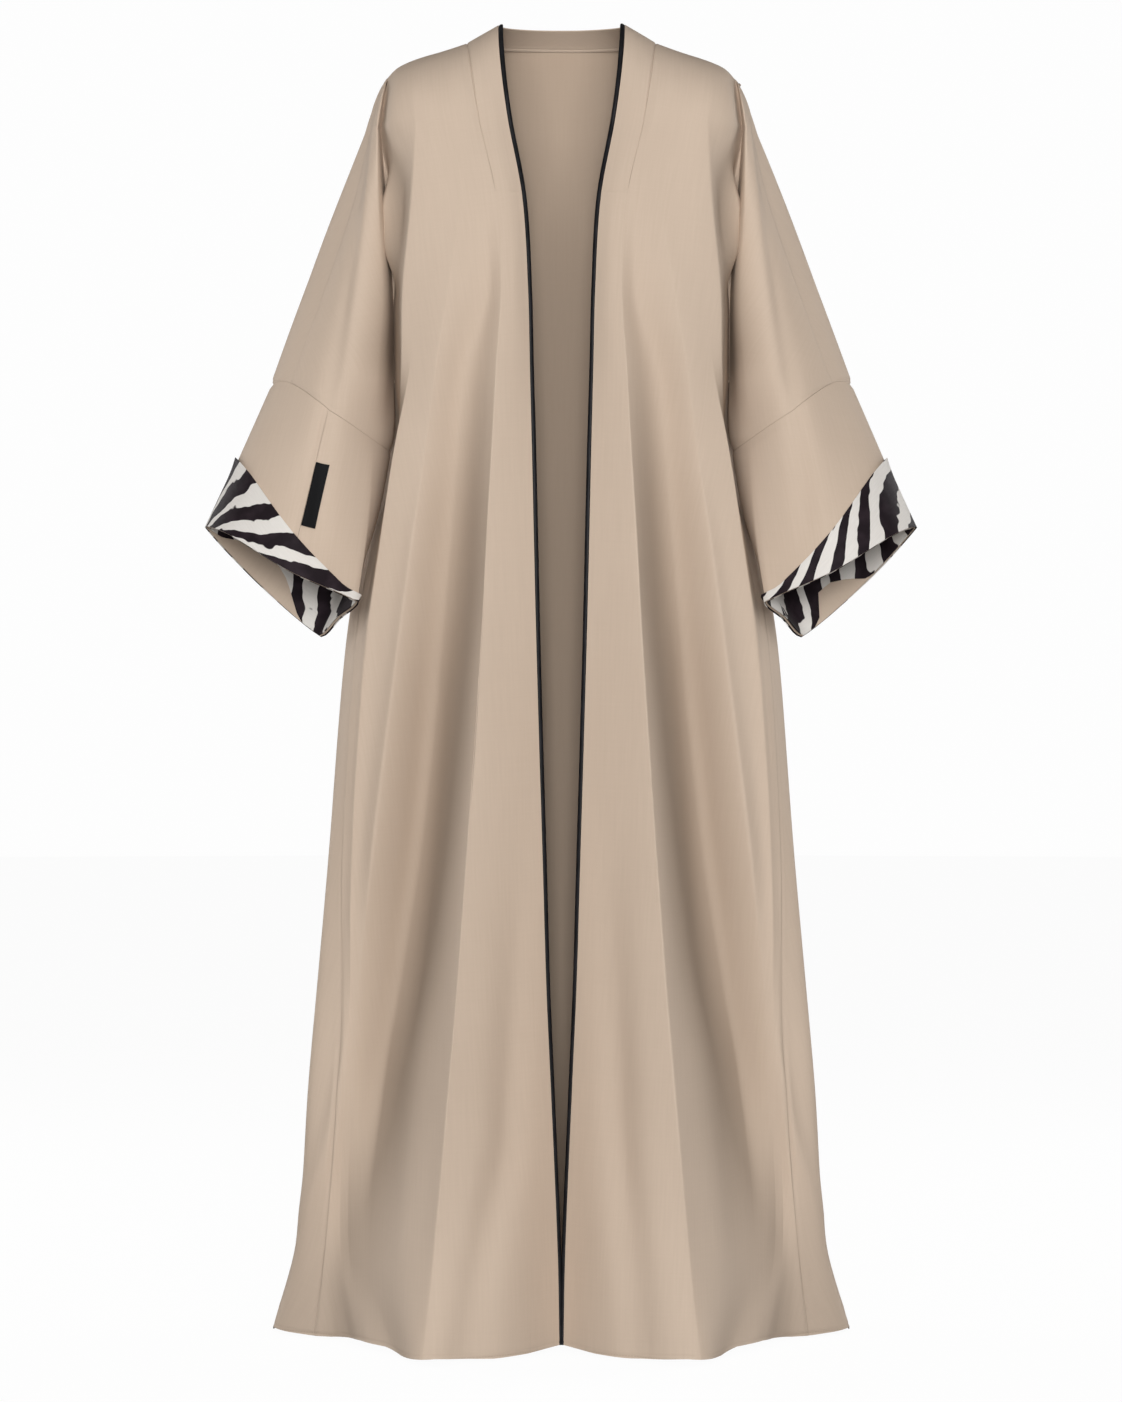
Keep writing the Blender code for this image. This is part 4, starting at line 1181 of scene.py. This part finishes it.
@dataclass(frozen=True)
class Crepe:
    """Matt-satin taupe crepe with a fine plain weave and crinkled threads; shade is painted into
    its colour deep in the folds, on the back's wrong side and along the pinch of the hem stitches.
    """

    light: Colour = (0.565, 0.455, 0.362)
    dark: Colour = (0.5, 0.397, 0.312)
    thread: float = 0.0007
    slubs_down: Sequence[float] = (420, 16, 1)
    slubs_across: Sequence[float] = (14, 460, 1)
    crinkles: float = 900.0
    shadow_depths: Place = (0.004, 0.058)
    roughness: Place = (0.6, 0.74)
    # strength of the painted shade on the sheet's wrong side
    inside_shade: float = 0.0
    # painted shade deep in the folds: its strength, and its colour below; shadow_depths gives the
    # depths over which it grows
    fold_shade_strength: float = 0.5
    shadow: Colour = (0.275, 0.205, 0.15)
    # colour of the painted shade on the sheet's wrong side
    wrong_side: Colour = (0.3, 0.222, 0.16)
    stitch_height: Optional[float] = None
    stitch_length: float = 0.0034
    stitch: Colour = (0.36, 0.28, 0.215)
    # colour of the painted shade along the stitches' pinch
    pinch_shadow: Colour = (0.3, 0.235, 0.18)

    def material(self, name: str, shift: float) -> Material:
        """Make the finish.

        Args:
            name: Material's name.
            shift: Moves the pattern, so that no two pieces repeat each other.

        Returns:
            The material.
        """
        g = Graph(name)
        cut = g.coordinates("UV", shift=(shift, shift * 0.7, 0))
        u, v, _ = g.split(cut)
        turns = math.tau / self.thread
        weave = g.sine(u * turns) * g.sine(v * turns)
        slub_down = g.noise(g.coordinates("UV", self.slubs_down, (shift, 0, 0)), 1.0, 3)
        slub_across = g.noise(g.coordinates("UV", self.slubs_across, (0, shift, 0)), 1.0, 3)
        cloud = g.noise(g.coordinates("Object", (1, 1, 0.35)), 7.0, 3)
        crinkle = g.noise(cut, self.crinkles, 2)
        tone = slub_down * 0.34 + slub_across * 0.14 + cloud * 0.46 + weave * 0.05
        colour = g.blend(g.remap(tone, 0.24, 0.7), self.dark, self.light)
        relief = weave * 0.5 + crinkle * 1.1 + (slub_down + slub_across) * 0.5
        # painted shade: the colour darkens towards the shadow colour where a point lies deep
        # between the folds' crests
        fold_shade = g.remap(g.attribute(DEPTH), *self.shadow_depths, 0.0, self.fold_shade_strength)
        colour = g.blend(fold_shade, colour, self.shadow)
        # painted shade: the wrong side is darkened, standing in for the shade inside the cloak
        if self.inside_shade:
            colour = g.blend(g.attribute(INNER) * self.inside_shade, colour, self.wrong_side)
        if self.stitch_height is not None:
            colour, relief = self.stitched(g, colour, relief, u)
        soft = g.noise(g.coordinates("Object", (1, 1, 0.22)), 16.0, 1)
        normal = g.bump(soft, 0.0016, 0.5, g.bump(relief, 0.00006, 0.8))
        rough = g.remap(crinkle + slub_down, 0.6, 1.4, *self.roughness)
        return g.settle(colour, rough, normal, Sheen_Weight=0.02, Sheen_Roughness=0.5,
                        Specular_IOR_Level=0.06)

    def stitched(self, g: Graph, colour: Wire, relief: Wire, u: Wire) -> tuple[Wire, Wire]:
        """Draw a row of hem stitches at a height into a colour and a relief, with painted shade in
        the band that they pinch in.
        """
        off = g.maths("ABSOLUTE", g.split(g.coordinates("Object"))[2] - self.stitch_height)
        row = g.remap(off, 0.0003, 0.0008, 1.0, 0.0)
        dash = g.remap(g.sine(u * (math.tau / self.stitch_length)), -0.75, -0.45)
        stitch = row * dash
        pinch_and_shade = g.remap(off, 0.0004, 0.0022, 1.0, 0.0)
        colour = g.blend(stitch * 0.35, colour, self.stitch)
        # painted shade along the band that the stitches pinch in; the same band also sinks the
        # relief
        colour = g.blend(pinch_and_shade * 0.16, colour, self.pinch_shadow)
        return colour, relief - pinch_and_shade * 2.2 + stitch * 1.4


class StripeRun(Enum):
    """How the printed stripes run over their piece."""

    RAYS = "like rays from the outer end of the rim to the free edge"
    BENT = "along the free edge first, then turning down to the rim"
    UPRIGHT = "standing upright when worn"


@dataclass(frozen=True)
class ZebraSatin:
    """Ivory satin printed with near-black animal stripes of uneven width that fork and taper, with
    painted sheen in soft patches on the black.
    """

    run: StripeRun = StripeRun.RAYS
    seed: float = 0.0
    lean: float = 0.15
    ivory: Colour = (0.685, 0.655, 0.618)
    black: Colour = (0.014, 0.0095, 0.012)
    period: float = 0.029
    rays_from: Place = (0.272, 0.116)
    rays_least: float = 0.12
    bend_depth: float = 0.016
    bend_end: float = 0.225
    bend: float = 5.0
    sway: float = 2.2
    swell: float = 1.3
    forks: float = 0.38
    rag: float = 0.5
    cut_off: float = -0.3
    softness: float = 0.035
    rib: float = 0.0006
    roughness: Place = (0.56, 0.68)

    def material(self, name: str) -> Material:
        """Make the finish."""
        g = Graph(name)
        u, v, _ = g.split(g.coordinates("UV"))
        phase = self.flow(g, u, v) * (math.tau / self.period)
        for noise_scale, amount in ((10.0, self.bend), (34.0, self.sway)):
            phase += (g.noise(self.cloth(g, 1.0), noise_scale, 1) - 0.5) * amount
        swell = g.noise(self.cloth(g, 2.0), 22.0, 1) - 0.5
        rag = g.noise(self.cloth(g, 3.0), 120.0, 0) - 0.5
        split = g.sine(phase * 2.0 + g.noise(self.cloth(g, 4.0), 9.0, 1) * 11.0)
        wave = g.sine(phase) + swell * self.swell + split * self.forks + rag * self.rag
        ink = g.remap(wave, self.cut_off - self.softness, self.cut_off + self.softness)
        shade = g.noise(g.coordinates("UV", (60, 900, 1)), 1.0, 2)
        # painted sheen: soft random patches where the black is lighter
        painted_sheen = g.noise(g.coordinates("Object"), 55.0, 2)
        ivory = g.blend(g.remap(shade, 0.3, 0.7), self.ivory, scaled(self.ivory, 0.93))
        black = g.blend(g.remap(painted_sheen, 0.42, 0.72), self.black, scaled(self.black, 1.9))
        ribs = g.sine(v * (math.tau / self.rib))
        crease = g.noise(g.coordinates("Object"), 34.0, 2)
        normal = g.bump(crease, 0.0016, 0.4, g.bump(ribs + shade, 0.00002, 0.5))
        rough = g.remap(shade, 0.3, 0.7, *self.roughness)
        return g.settle(g.blend(ink, ivory, black), rough, normal, Specular_IOR_Level=0.08)

    def cloth(self, g: Graph, layer: float) -> Wire:
        """Place on the cloth, moved so that each layer of noise is its own."""
        return g.coordinates("UV", shift=(self.seed + layer * 1.7, self.seed * 0.6 + layer, 0.0))

    def flow(self, g: Graph, u: Wire, v: Wire) -> Wire:
        """Length counted across the stripes at a place on the cloth."""
        if self.run is StripeRun.UPRIGHT:
            x, _, z = g.split(g.coordinates("Object"))
            return x + z * self.lean
        if self.run is StripeRun.RAYS:
            left = g.maths("MAXIMUM", 1.0 - v / self.rays_from[1], self.rays_least)
            return (u - self.rays_from[0]) / left
        eased = g.maths("POWER", math.e, v / -self.bend_depth)
        down = v * 0.65 - eased * (1.5 * self.bend_depth)
        return u * 0.3 + g.least(u, self.bend_end) * 0.7 + down


@dataclass(frozen=True)
class PipingSatin:
    """Black satin folded over a cord, with its slanting twill."""

    black: Colour = (0.006, 0.006, 0.007)
    twill: float = 5200.0
    roughness: Place = (0.34, 0.48)

    def material(self, name: str) -> Material:
        """Make the finish."""
        g = Graph(name)
        u, v, _ = g.split(g.coordinates("UV"))
        slant = g.sine((u * 1.4 + v) * self.twill)
        # lighter in soft streaks down its length
        streaks = g.noise(g.coordinates("Object", (1, 1, 0.4)), 130.0, 3)
        colour = g.blend(g.remap(streaks, 0.35, 0.75), self.black, scaled(self.black, 2.4))
        normal = g.bump(streaks, 0.0003, 0.5, g.bump(slant, 0.00003, 0.5))
        rough = g.remap(streaks, 0.3, 0.7, *self.roughness)
        return g.settle(colour, rough, normal, Specular_IOR_Level=0.12)


@dataclass(frozen=True)
class Ribbon:
    """Bare black woven ribbon with ribs across it and a smooth border."""

    black: Colour = (0.006, 0.006, 0.0065)
    width: float = 0.0165
    length: float = 0.074
    border: float = 0.0011
    rib: float = 0.0009
    roughness: Place = (0.42, 0.62)

    def material(self, name: str) -> Material:
        """Make the finish."""
        g = Graph(name)
        u, v, _ = g.split(g.coordinates("UV"))
        ribs = g.sine(v * (math.tau / self.rib))
        edge = g.least(g.least(u, self.width - u), g.least(v, self.length - v))
        inside = g.remap(edge, self.border * 0.7, self.border * 1.1)
        fuzz = g.noise(g.coordinates("UV", (1, 3, 1)), 1500.0, 2)
        colour = g.blend(g.remap(fuzz, 0.35, 0.7), self.black, scaled(self.black, 1.9))
        colour = g.blend(inside * 0.5, colour, scaled(self.black, 1.8))
        relief = ribs * inside * 0.7 + fuzz
        rough = g.remap(inside, 0.0, 1.0, *self.roughness)
        return g.settle(colour, rough, g.bump(relief, 0.00008, 0.6), Specular_IOR_Level=0.05)


@dataclass(frozen=True)
class Paper:
    """White studio paper of the floor."""

    glow: float = 0.965
    white: float = 0.03

    def material(self, name: str) -> Material:
        """Make the finish."""
        g = Graph(name)
        grain = g.noise(g.coordinates("Object"), 60.0, 2)
        grain = g.remap(grain, 0.3, 0.7, self.white * 0.98, self.white)
        g.put(g.shader.inputs["Emission Color"], (1.0, 1.0, 1.0, 1.0))
        return g.settle(grain, 0.9, None, Emission_Strength=self.glow, Specular_IOR_Level=0.0)


# ---------------------------------------------------------------- sewn pieces

MIDDLE_GAP = 0.02           # a piece that reaches past this on both sides spans the middle plane


def stand_for(piece: Thing, node: str) -> None:
    """Put a piece in the place of a solid of the body."""
    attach(piece, "root")
    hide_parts(node)


def declare(piece: Thing, node: str, skin: Skin, hold: Hold,
            with_pieces: Sequence[Thing] = ()) -> None:
    """Say what a finished sheet stands for, rides on and was cut to.

    Args:
        piece: The sheet.
        node: Solid that it replaces, which is also its name in the skin.
        skin: Skin that carries it.
        hold: How it is held; not used.
        with_pieces: Separate pieces on it; not used.
    """
    uv = np.array([place for _, cut in skin.cells[node] for place in cut])
    quads = np.array([cell for cell, _ in skin.cells[node]])
    area = float(np.linalg.norm(spreads(skin.places, quads), axis=1).sum() / 2)
    width, length = (float(x) for x in uv.max(axis=0) - uv.min(axis=0))
    across = skin.places[quads, 0]
    if across.min() < -MIDDLE_GAP and across.max() > MIDDLE_GAP:
        width *= 2                  # cut on the fold: both halves share a cut
    stand_for(piece, node)
    list(with_pieces)
    LOG.info("%s: cut %.3f x %.3f m, %.4f m2, %d faces", piece.name, width, length, area,
             len(piece.data.polygons))


@dataclass
class CrepePanels:
    """The crepe pieces of the cloak, hung from the shoulders."""

    shape: CloakShape
    wall: float = CLOTH
    gap: float = SEAM_GAP
    # strength of the painted shade on the inside of the back
    back_inside_shade: float = 0.5
    hemmed: tuple[str, ...] = ("back", "front_left", "front_right")

    def build(self) -> dict[str, Thing]:
        """Make every crepe piece by name."""
        panels = {}
        for number, (name, cells) in enumerate(sorted(self.shape.skin.cells.items())):
            crepe = Crepe(stitch_height=HEM + STITCH_LIFT if name in self.hemmed else None,
                          inside_shade=self.back_inside_shade if name == "back" else 0.0)
            finish = crepe.material(name + "_crepe", number * 0.37)
            panels[name] = make_sheet(name, self.shape.skin, cells, lambda i: -self.wall,
                                      lambda i: 0.0, finish, self.gap)
        return panels

    def declare(self, panels: dict[str, Thing], trims: dict[str, list]) -> None:
        """Declare every crepe piece; the trims that are sewn to it are passed on but not used."""
        for name, panel in panels.items():
            declare(panel, name, self.shape.skin, Hold.HUNG, trims.get(name, []))


@dataclass
class Piping:
    """Satin piping along one front edge, from a rounded tip at the neck point to the hem."""

    shape: CloakShape
    side: Side
    half_width: float = 0.0026
    half_depth: float = 0.0017
    sides: int = 14
    tip_rings: int = 4
    lowered: float = 0.0042
    lowered_over: float = 0.012
    least_size: float = 0.05
    sharp_angle: float = 60.0

    def build(self) -> Thing:
        """Sweep the piping along the edge of the cloth."""
        centres, aways, normals = self.track()
        steps = np.linalg.norm(np.diff(centres, axis=0), axis=1)
        walked = np.concatenate([[0.0], np.cumsum(steps)])
        up = (centres[0] - centres[1]) / np.linalg.norm(centres[0] - centres[1])
        turns = np.linspace(0, math.tau, self.sides, endpoint=False)
        angles = [k / self.tip_rings * math.pi / 2 for k in range(self.tip_rings)]
        stops = [(0, math.cos(angle), max(math.sin(angle), self.least_size)) for angle in angles]
        rings, places = [], []
        for row, lift, size in stops + [(row, 0.0, 1.0) for row in range(len(centres))]:
            lowered = self.lowered * math.exp(-walked[row] / self.lowered_over)
            middle = centres[row] + up * lift * self.half_width - np.array((0.0, 0.0, lowered))
            rings.append([middle + size * (aways[row] * self.half_width * math.cos(t)
                                           + normals[row] * self.half_depth * math.sin(t))
                          for t in turns])
            places.append(walked[row] - lift * self.half_width)
        return self.mesh(rings, places)

    def track(self) -> tuple[np.ndarray, np.ndarray, np.ndarray]:
        """Middle line of the piping, its way out from the edge, and the cloth's normals."""
        skin = self.shape.skin
        edge, beside = ([skin.index[self.side, *body_key(row, column)]
                         for row in range(HEM_ROW + 1)] for column in (0, 2))
        here, normals = skin.places[edge], skin.normals[edge]
        along = np.gradient(here, axis=0)
        along /= np.linalg.norm(along, axis=1, keepdims=True)
        aways = here - skin.places[beside]
        for other in (normals, along):
            aways = aways - other * (aways * other).sum(axis=1, keepdims=True)
        aways /= np.linalg.norm(aways, axis=1, keepdims=True)
        centres = here - normals * (CLOTH / 2) + aways * (self.half_width + SEAM_GAP / 2)
        return centres, aways, normals

    def mesh(self, rings: list, places: list) -> Thing:
        """Close the rings into a tube with its lengths as the UV map."""
        count, last = self.sides, len(rings) - 1
        faces, cuts = [], []
        round_by = math.tau * self.half_width / count
        for r in range(last):
            for k in range(count):
                after = (k + 1) % count
                face = [(r * count + k, k, r), (r * count + after, k + 1, r),
                        ((r + 1) * count + after, k + 1, r + 1), ((r + 1) * count + k, k, r + 1)]
                if self.side is Side.LEFT:
                    face.reverse()
                faces.append([corner[0] for corner in face])
                cuts += [(corner[1] * round_by, places[corner[2]]) for corner in face]
        for r, flip in ((0, True), (last, False)):
            cap = list(range(r * count, (r + 1) * count))
            if flip != (self.side is Side.LEFT):
                cap.reverse()
            faces.append(cap)
            cuts += [(0.0, places[r])] * count
        name = "piping_" + self.side.word
        points = [tuple(point) for ring in rings for point in ring]
        finish = PipingSatin().material(name + "_finish")
        mesh = make_mesh(name + "_satin", points, faces, cuts, finish)
        mesh.set_sharp_from_angle(angle=math.radians(self.sharp_angle))
        piece = add_object(mesh.name, mesh)
        stand_for(piece, name)
        LOG.info("%s: %d faces", name, len(faces))
        return piece


@dataclass
class Cuff:
    """Turned-back cuff of printed satin outside the sleeve, and its facing in the mouth."""

    shape: CloakShape
    side: Side
    width: float = 0.086
    narrow: float = 0.008
    facing_depth: float = 0.075
    bare: tuple[Place, ...] = (
        (0.4, 0.0), (0.44, 0.006), (0.5, 0.018), (0.55, 0.027), (0.66, 0.036), (0.77, 0.03),
        (0.85, 0.02), (0.93, 0.006), (1.0, 0.0),
    )
    wall: float = 0.001
    loose: float = 0.001
    flare: float = 0.0022
    flare_share: float = 0.35
    rows: int = 20
    outer_print: ZebraSatin = field(default_factory=ZebraSatin)
    facing_print: ZebraSatin = field(default_factory=ZebraSatin)

    @staticmethod
    def key(row: int, column: int) -> Key:
        """Key of a point, so that the sheet closes at the underarm seam."""
        return ("cuff", row, SEAM_COLUMN if column == BACK_SEAM_COLUMN else column)

    def sheet(self, name: str, row_of: Callable[[int, float], float]) -> Skin:
        """Skin of a sheet on the sleeve.

        Args:
            name: Thing that its cells belong to.
            row_of: Sleeve row at a column and a share of the sheet's width.

        Returns:
            The finished skin.
        """
        skin = Skin()
        columns = range(SEAM_COLUMN, BACK_SEAM_COLUMN + 1)
        places = np.array([[self.shape.sleeve.point(c, row_of(c, r / self.rows)) for c in columns]
                           for r in range(self.rows + 1)])
        skin.add_grid(self.side, Grid(0, SEAM_COLUMN, places, self.key, zone_of_column,
                                      lambda side, row, column: name), back_names=())
        skin.finish()
        return skin

    def lay(self, name: str, skin: Skin, near: Callable[[int], float], satin: ZebraSatin) -> Thing:
        """Make a sheet on the sleeve and say what it lies on.

        Args:
            name: Piece that it stands for.
            skin: Its skin.
            near: Distance of its inner face out from the skin at each point.
            satin: Print.

        Returns:
            The sheet.
        """
        piece = make_sheet(name, skin, skin.cells[name], near, lambda i: near(i) + self.wall,
                           satin.material(name + "_print"))
        declare(piece, name, skin, Hold.FOLDED)
        return piece

    def build_cuff(self) -> Thing:
        """Make the turned-back part."""
        sleeve, name = self.shape.sleeve, "cuff_" + self.side.word

        def row_of(column: int, share: float) -> float:
            """Sleeve row at a share of the way from the free edge to the rim."""
            width = max(self.narrow, self.width * sleeve.across(column))
            return sleeve.row_between(column, width, 0.0, share)

        skin = self.sheet(name, row_of)
        share_of = {i: key[2] / self.rows for key, i in skin.index.items()}

        def near(i: int) -> float:
            """Gap to the sleeve: the free edge stands off and the rim comes down on it."""
            free = max(0.0, 1 - share_of[i] / self.flare_share)
            return self.loose + self.flare * free ** 2

        return self.lay(name, skin, near, self.outer_print)

    def build_facing(self) -> Thing:
        """Make the facing inside the mouth, its lower edge curving up on the back."""
        sleeve, name = self.shape.sleeve, "cuff_facing_" + self.side.word
        table = np.array(self.bare)

        def row_of(column: int, share: float) -> float:
            """Sleeve row at a share of the way from the hidden edge to the lower one."""
            bared = 0.0
            if column > OVER_COLUMN + FINER:
                bared = float(np.interp(sleeve.across(column), table[:, 0], table[:, 1]))
            return sleeve.row_between(column, self.facing_depth, bared, share)

        return self.lay(name, self.sheet(name, row_of), lambda i: -CLOTH - self.loose - self.wall,
                        self.facing_print)


@dataclass
class SleeveLabel:
    """Bare black tab beside the label seam of the wearer's right sleeve."""

    shape: CloakShape
    width: float = 0.0165
    wall: float = 0.0008
    loose: float = 0.001
    span: tuple[float, float] = (0.33, 0.72)
    rows: int = 16
    across: int = 6

    def beside(self, row: float, away: float) -> Vector:
        """Point of the sleeve this far from the label seam towards the body."""
        column, here = LABEL_COLUMN, self.shape.sleeve.point(LABEL_COLUMN, row)
        while True:
            column -= 1
            after = self.shape.sleeve.point(column, row)
            step = (after - here).length
            if away <= step:
                return here.lerp(after, away / step)
            here, away = after, away - step

    def build(self) -> Thing:
        """Lay the tab along the seam."""
        skin, sleeve = Skin(), self.shape.sleeve
        places = np.zeros((self.rows + 1, self.across + 1, 3))
        low, high = self.span
        for r in range(self.rows + 1):
            down = ELBOW_ROW + SLEEVE_ROWS * (low + (high - low) * r / self.rows)
            seam, under = (sleeve.point(LABEL_COLUMN, down + k) for k in (0, 1))
            inward = (sleeve.point(LABEL_COLUMN - 1, down) - seam).normalized()
            slant = inward.dot((under - seam).normalized())
            for k in range(self.across + 1):
                away = SEAM_GAP + self.width * k / self.across
                row = down - away * slant / (under - seam).length
                places[r, self.across - k] = self.beside(row, away)
        skin.add_grid(Side.RIGHT, Grid(0, LABEL_COLUMN - self.across, places,
                                       lambda row, column: ("label", row, column), zone_of_column,
                                       lambda side, row, column: "sleeve_label"), back_names=())
        skin.finish()
        cells = skin.cells["sleeve_label"]
        piece = make_sheet("sleeve_label", skin, cells, lambda i: self.loose,
                           lambda i: self.loose + self.wall, Ribbon().material("label_ribbon"))
        declare(piece, "sleeve_label", skin, Hold.STRETCHED)
        return piece


# ---------------------------------------------------------------- studio


class SoftBox(NamedTuple):
    """Rectangular light: its place, its width and height in metres, and its power in watts."""

    name: str
    place: Sequence[float]
    size: Place
    power: float


@dataclass
class Studio:
    """White paper floor, soft lights and the camera."""

    floor_height: float = HEM - 0.0022
    distance: float = 4.5
    eye_height: float = -0.739
    lens: float = 105.6
    world_light: float = 0.07
    world_white: float = 0.985
    sensor: float = 36.0
    aim: Sequence[float] = (0.0, 0.0, -0.7)
    floor_radius: float = 14.0
    boxes: tuple[SoftBox, ...] = (
        SoftBox("key", (0.0, -5.0, 0.3), (3.2, 2.2), 198.0),
        SoftBox("top", (0.0, -1.0, 2.3), (2.4, 1.2), 8.0),
        SoftBox("low_fill", (0.0, -4.2, -0.8), (0.46, 2.0), 74.0),
        SoftBox("left_side", (-2.4, 1.5, -0.4), (1.6, 2.6), 64.0),
        SoftBox("right_side", (2.4, 1.5, -0.4), (1.6, 2.6), 64.0),
    )

    def build(self) -> None:
        """Set the whole studio up."""
        self.floor()
        self.camera()
        self.world()
        for box in self.boxes:
            self.light(box)
        bpy.context.scene.view_settings.view_transform = "Standard"

    def floor(self) -> None:
        """Lay the paper as a broad disc just under the hem."""
        bpy.ops.object.select_all(action="DESELECT")
        bpy.ops.mesh.primitive_circle_add(vertices=96, radius=self.floor_radius, fill_type="NGON",
                                          location=(0, 0, self.floor_height))
        disc = bpy.context.object
        disc.name = "floor"
        bpy.ops.object.transform_apply(location=True)
        disc.data.materials.append(Paper().material("floor_paper"))
        disc.visible_diffuse = disc.visible_glossy = False

    def light(self, box: SoftBox) -> None:
        """Hang one soft box aimed at the middle of the cloak."""
        lamp = bpy.data.lights.new(box.name, "AREA")
        lamp.shape, lamp.energy = "RECTANGLE", box.power
        lamp.size, lamp.size_y = box.size
        hung = add_object(box.name, lamp)
        hung.location = box.place
        aim = Vector(self.aim) - Vector(box.place)
        hung.rotation_euler = aim.to_track_quat("-Z", "Y").to_euler()
        hung.visible_camera = False

    def camera(self) -> None:
        """Stand the camera level, straight in front."""
        lens = bpy.data.cameras.new("camera")
        lens.lens, lens.sensor_width = self.lens, self.sensor
        eye = add_object("camera", lens)
        eye.location = (-0.0005, -self.distance, self.eye_height)
        eye.rotation_euler = (math.pi / 2, 0, 0)
        bpy.context.scene.camera = eye

    def world(self) -> None:
        """White surroundings that light the cloak softly."""
        world = bpy.data.worlds.new("studio")
        world.use_nodes = True
        tree = world.node_tree
        soft, white = tree.nodes["Background"], tree.nodes.new("ShaderNodeBackground")
        soft.inputs[1].default_value = self.world_light
        soft.inputs[0].default_value = (1.0, 0.93, 0.85, 1)
        white.inputs[0].default_value = (1, 1, 1, 1)
        white.inputs[1].default_value = self.world_white
        seen, mix = tree.nodes.new("ShaderNodeLightPath"), tree.nodes.new("ShaderNodeMixShader")
        tree.links.new(seen.outputs["Is Camera Ray"], mix.inputs[0])
        tree.links.new(soft.outputs[0], mix.inputs[1])
        tree.links.new(white.outputs[0], mix.inputs[2])
        tree.links.new(mix.outputs[0], tree.nodes["World Output"].inputs[0])
        bpy.context.scene.world = world


def main() -> None:
    """Build the cloak and its studio."""
    logging.basicConfig(level=logging.INFO, format="%(message)s")
    shape = CloakShape()
    shape.build()
    panels = CrepePanels(shape)
    pieces = panels.build()
    trims = {"front_" + side.word: [Piping(shape, side).build()] for side in Side}
    panels.declare(pieces, trims)
    left, right = (Cuff(shape, side) for side in Side)
    left.outer_print = ZebraSatin(StripeRun.BENT, seed=4.1, period=0.047)
    left.facing_print = ZebraSatin(StripeRun.UPRIGHT, seed=2.3)
    left.bare = ((0.37, 0.0), (0.4, 0.01), (0.43, 0.03), (0.52, 0.029), (0.617, 0.017),
                 (0.7, 0.003), (0.74, 0.0), (1.0, 0.0))
    right.outer_print = ZebraSatin(seed=1.2, period=0.054)
    right.facing_print = ZebraSatin(StripeRun.UPRIGHT, seed=7.4, lean=-0.15)
    for cuff in (left, right):
        cuff.build_cuff()
        cuff.build_facing()
    SleeveLabel(shape).build()
    Studio().build()


if __name__ == "__main__":
    main()
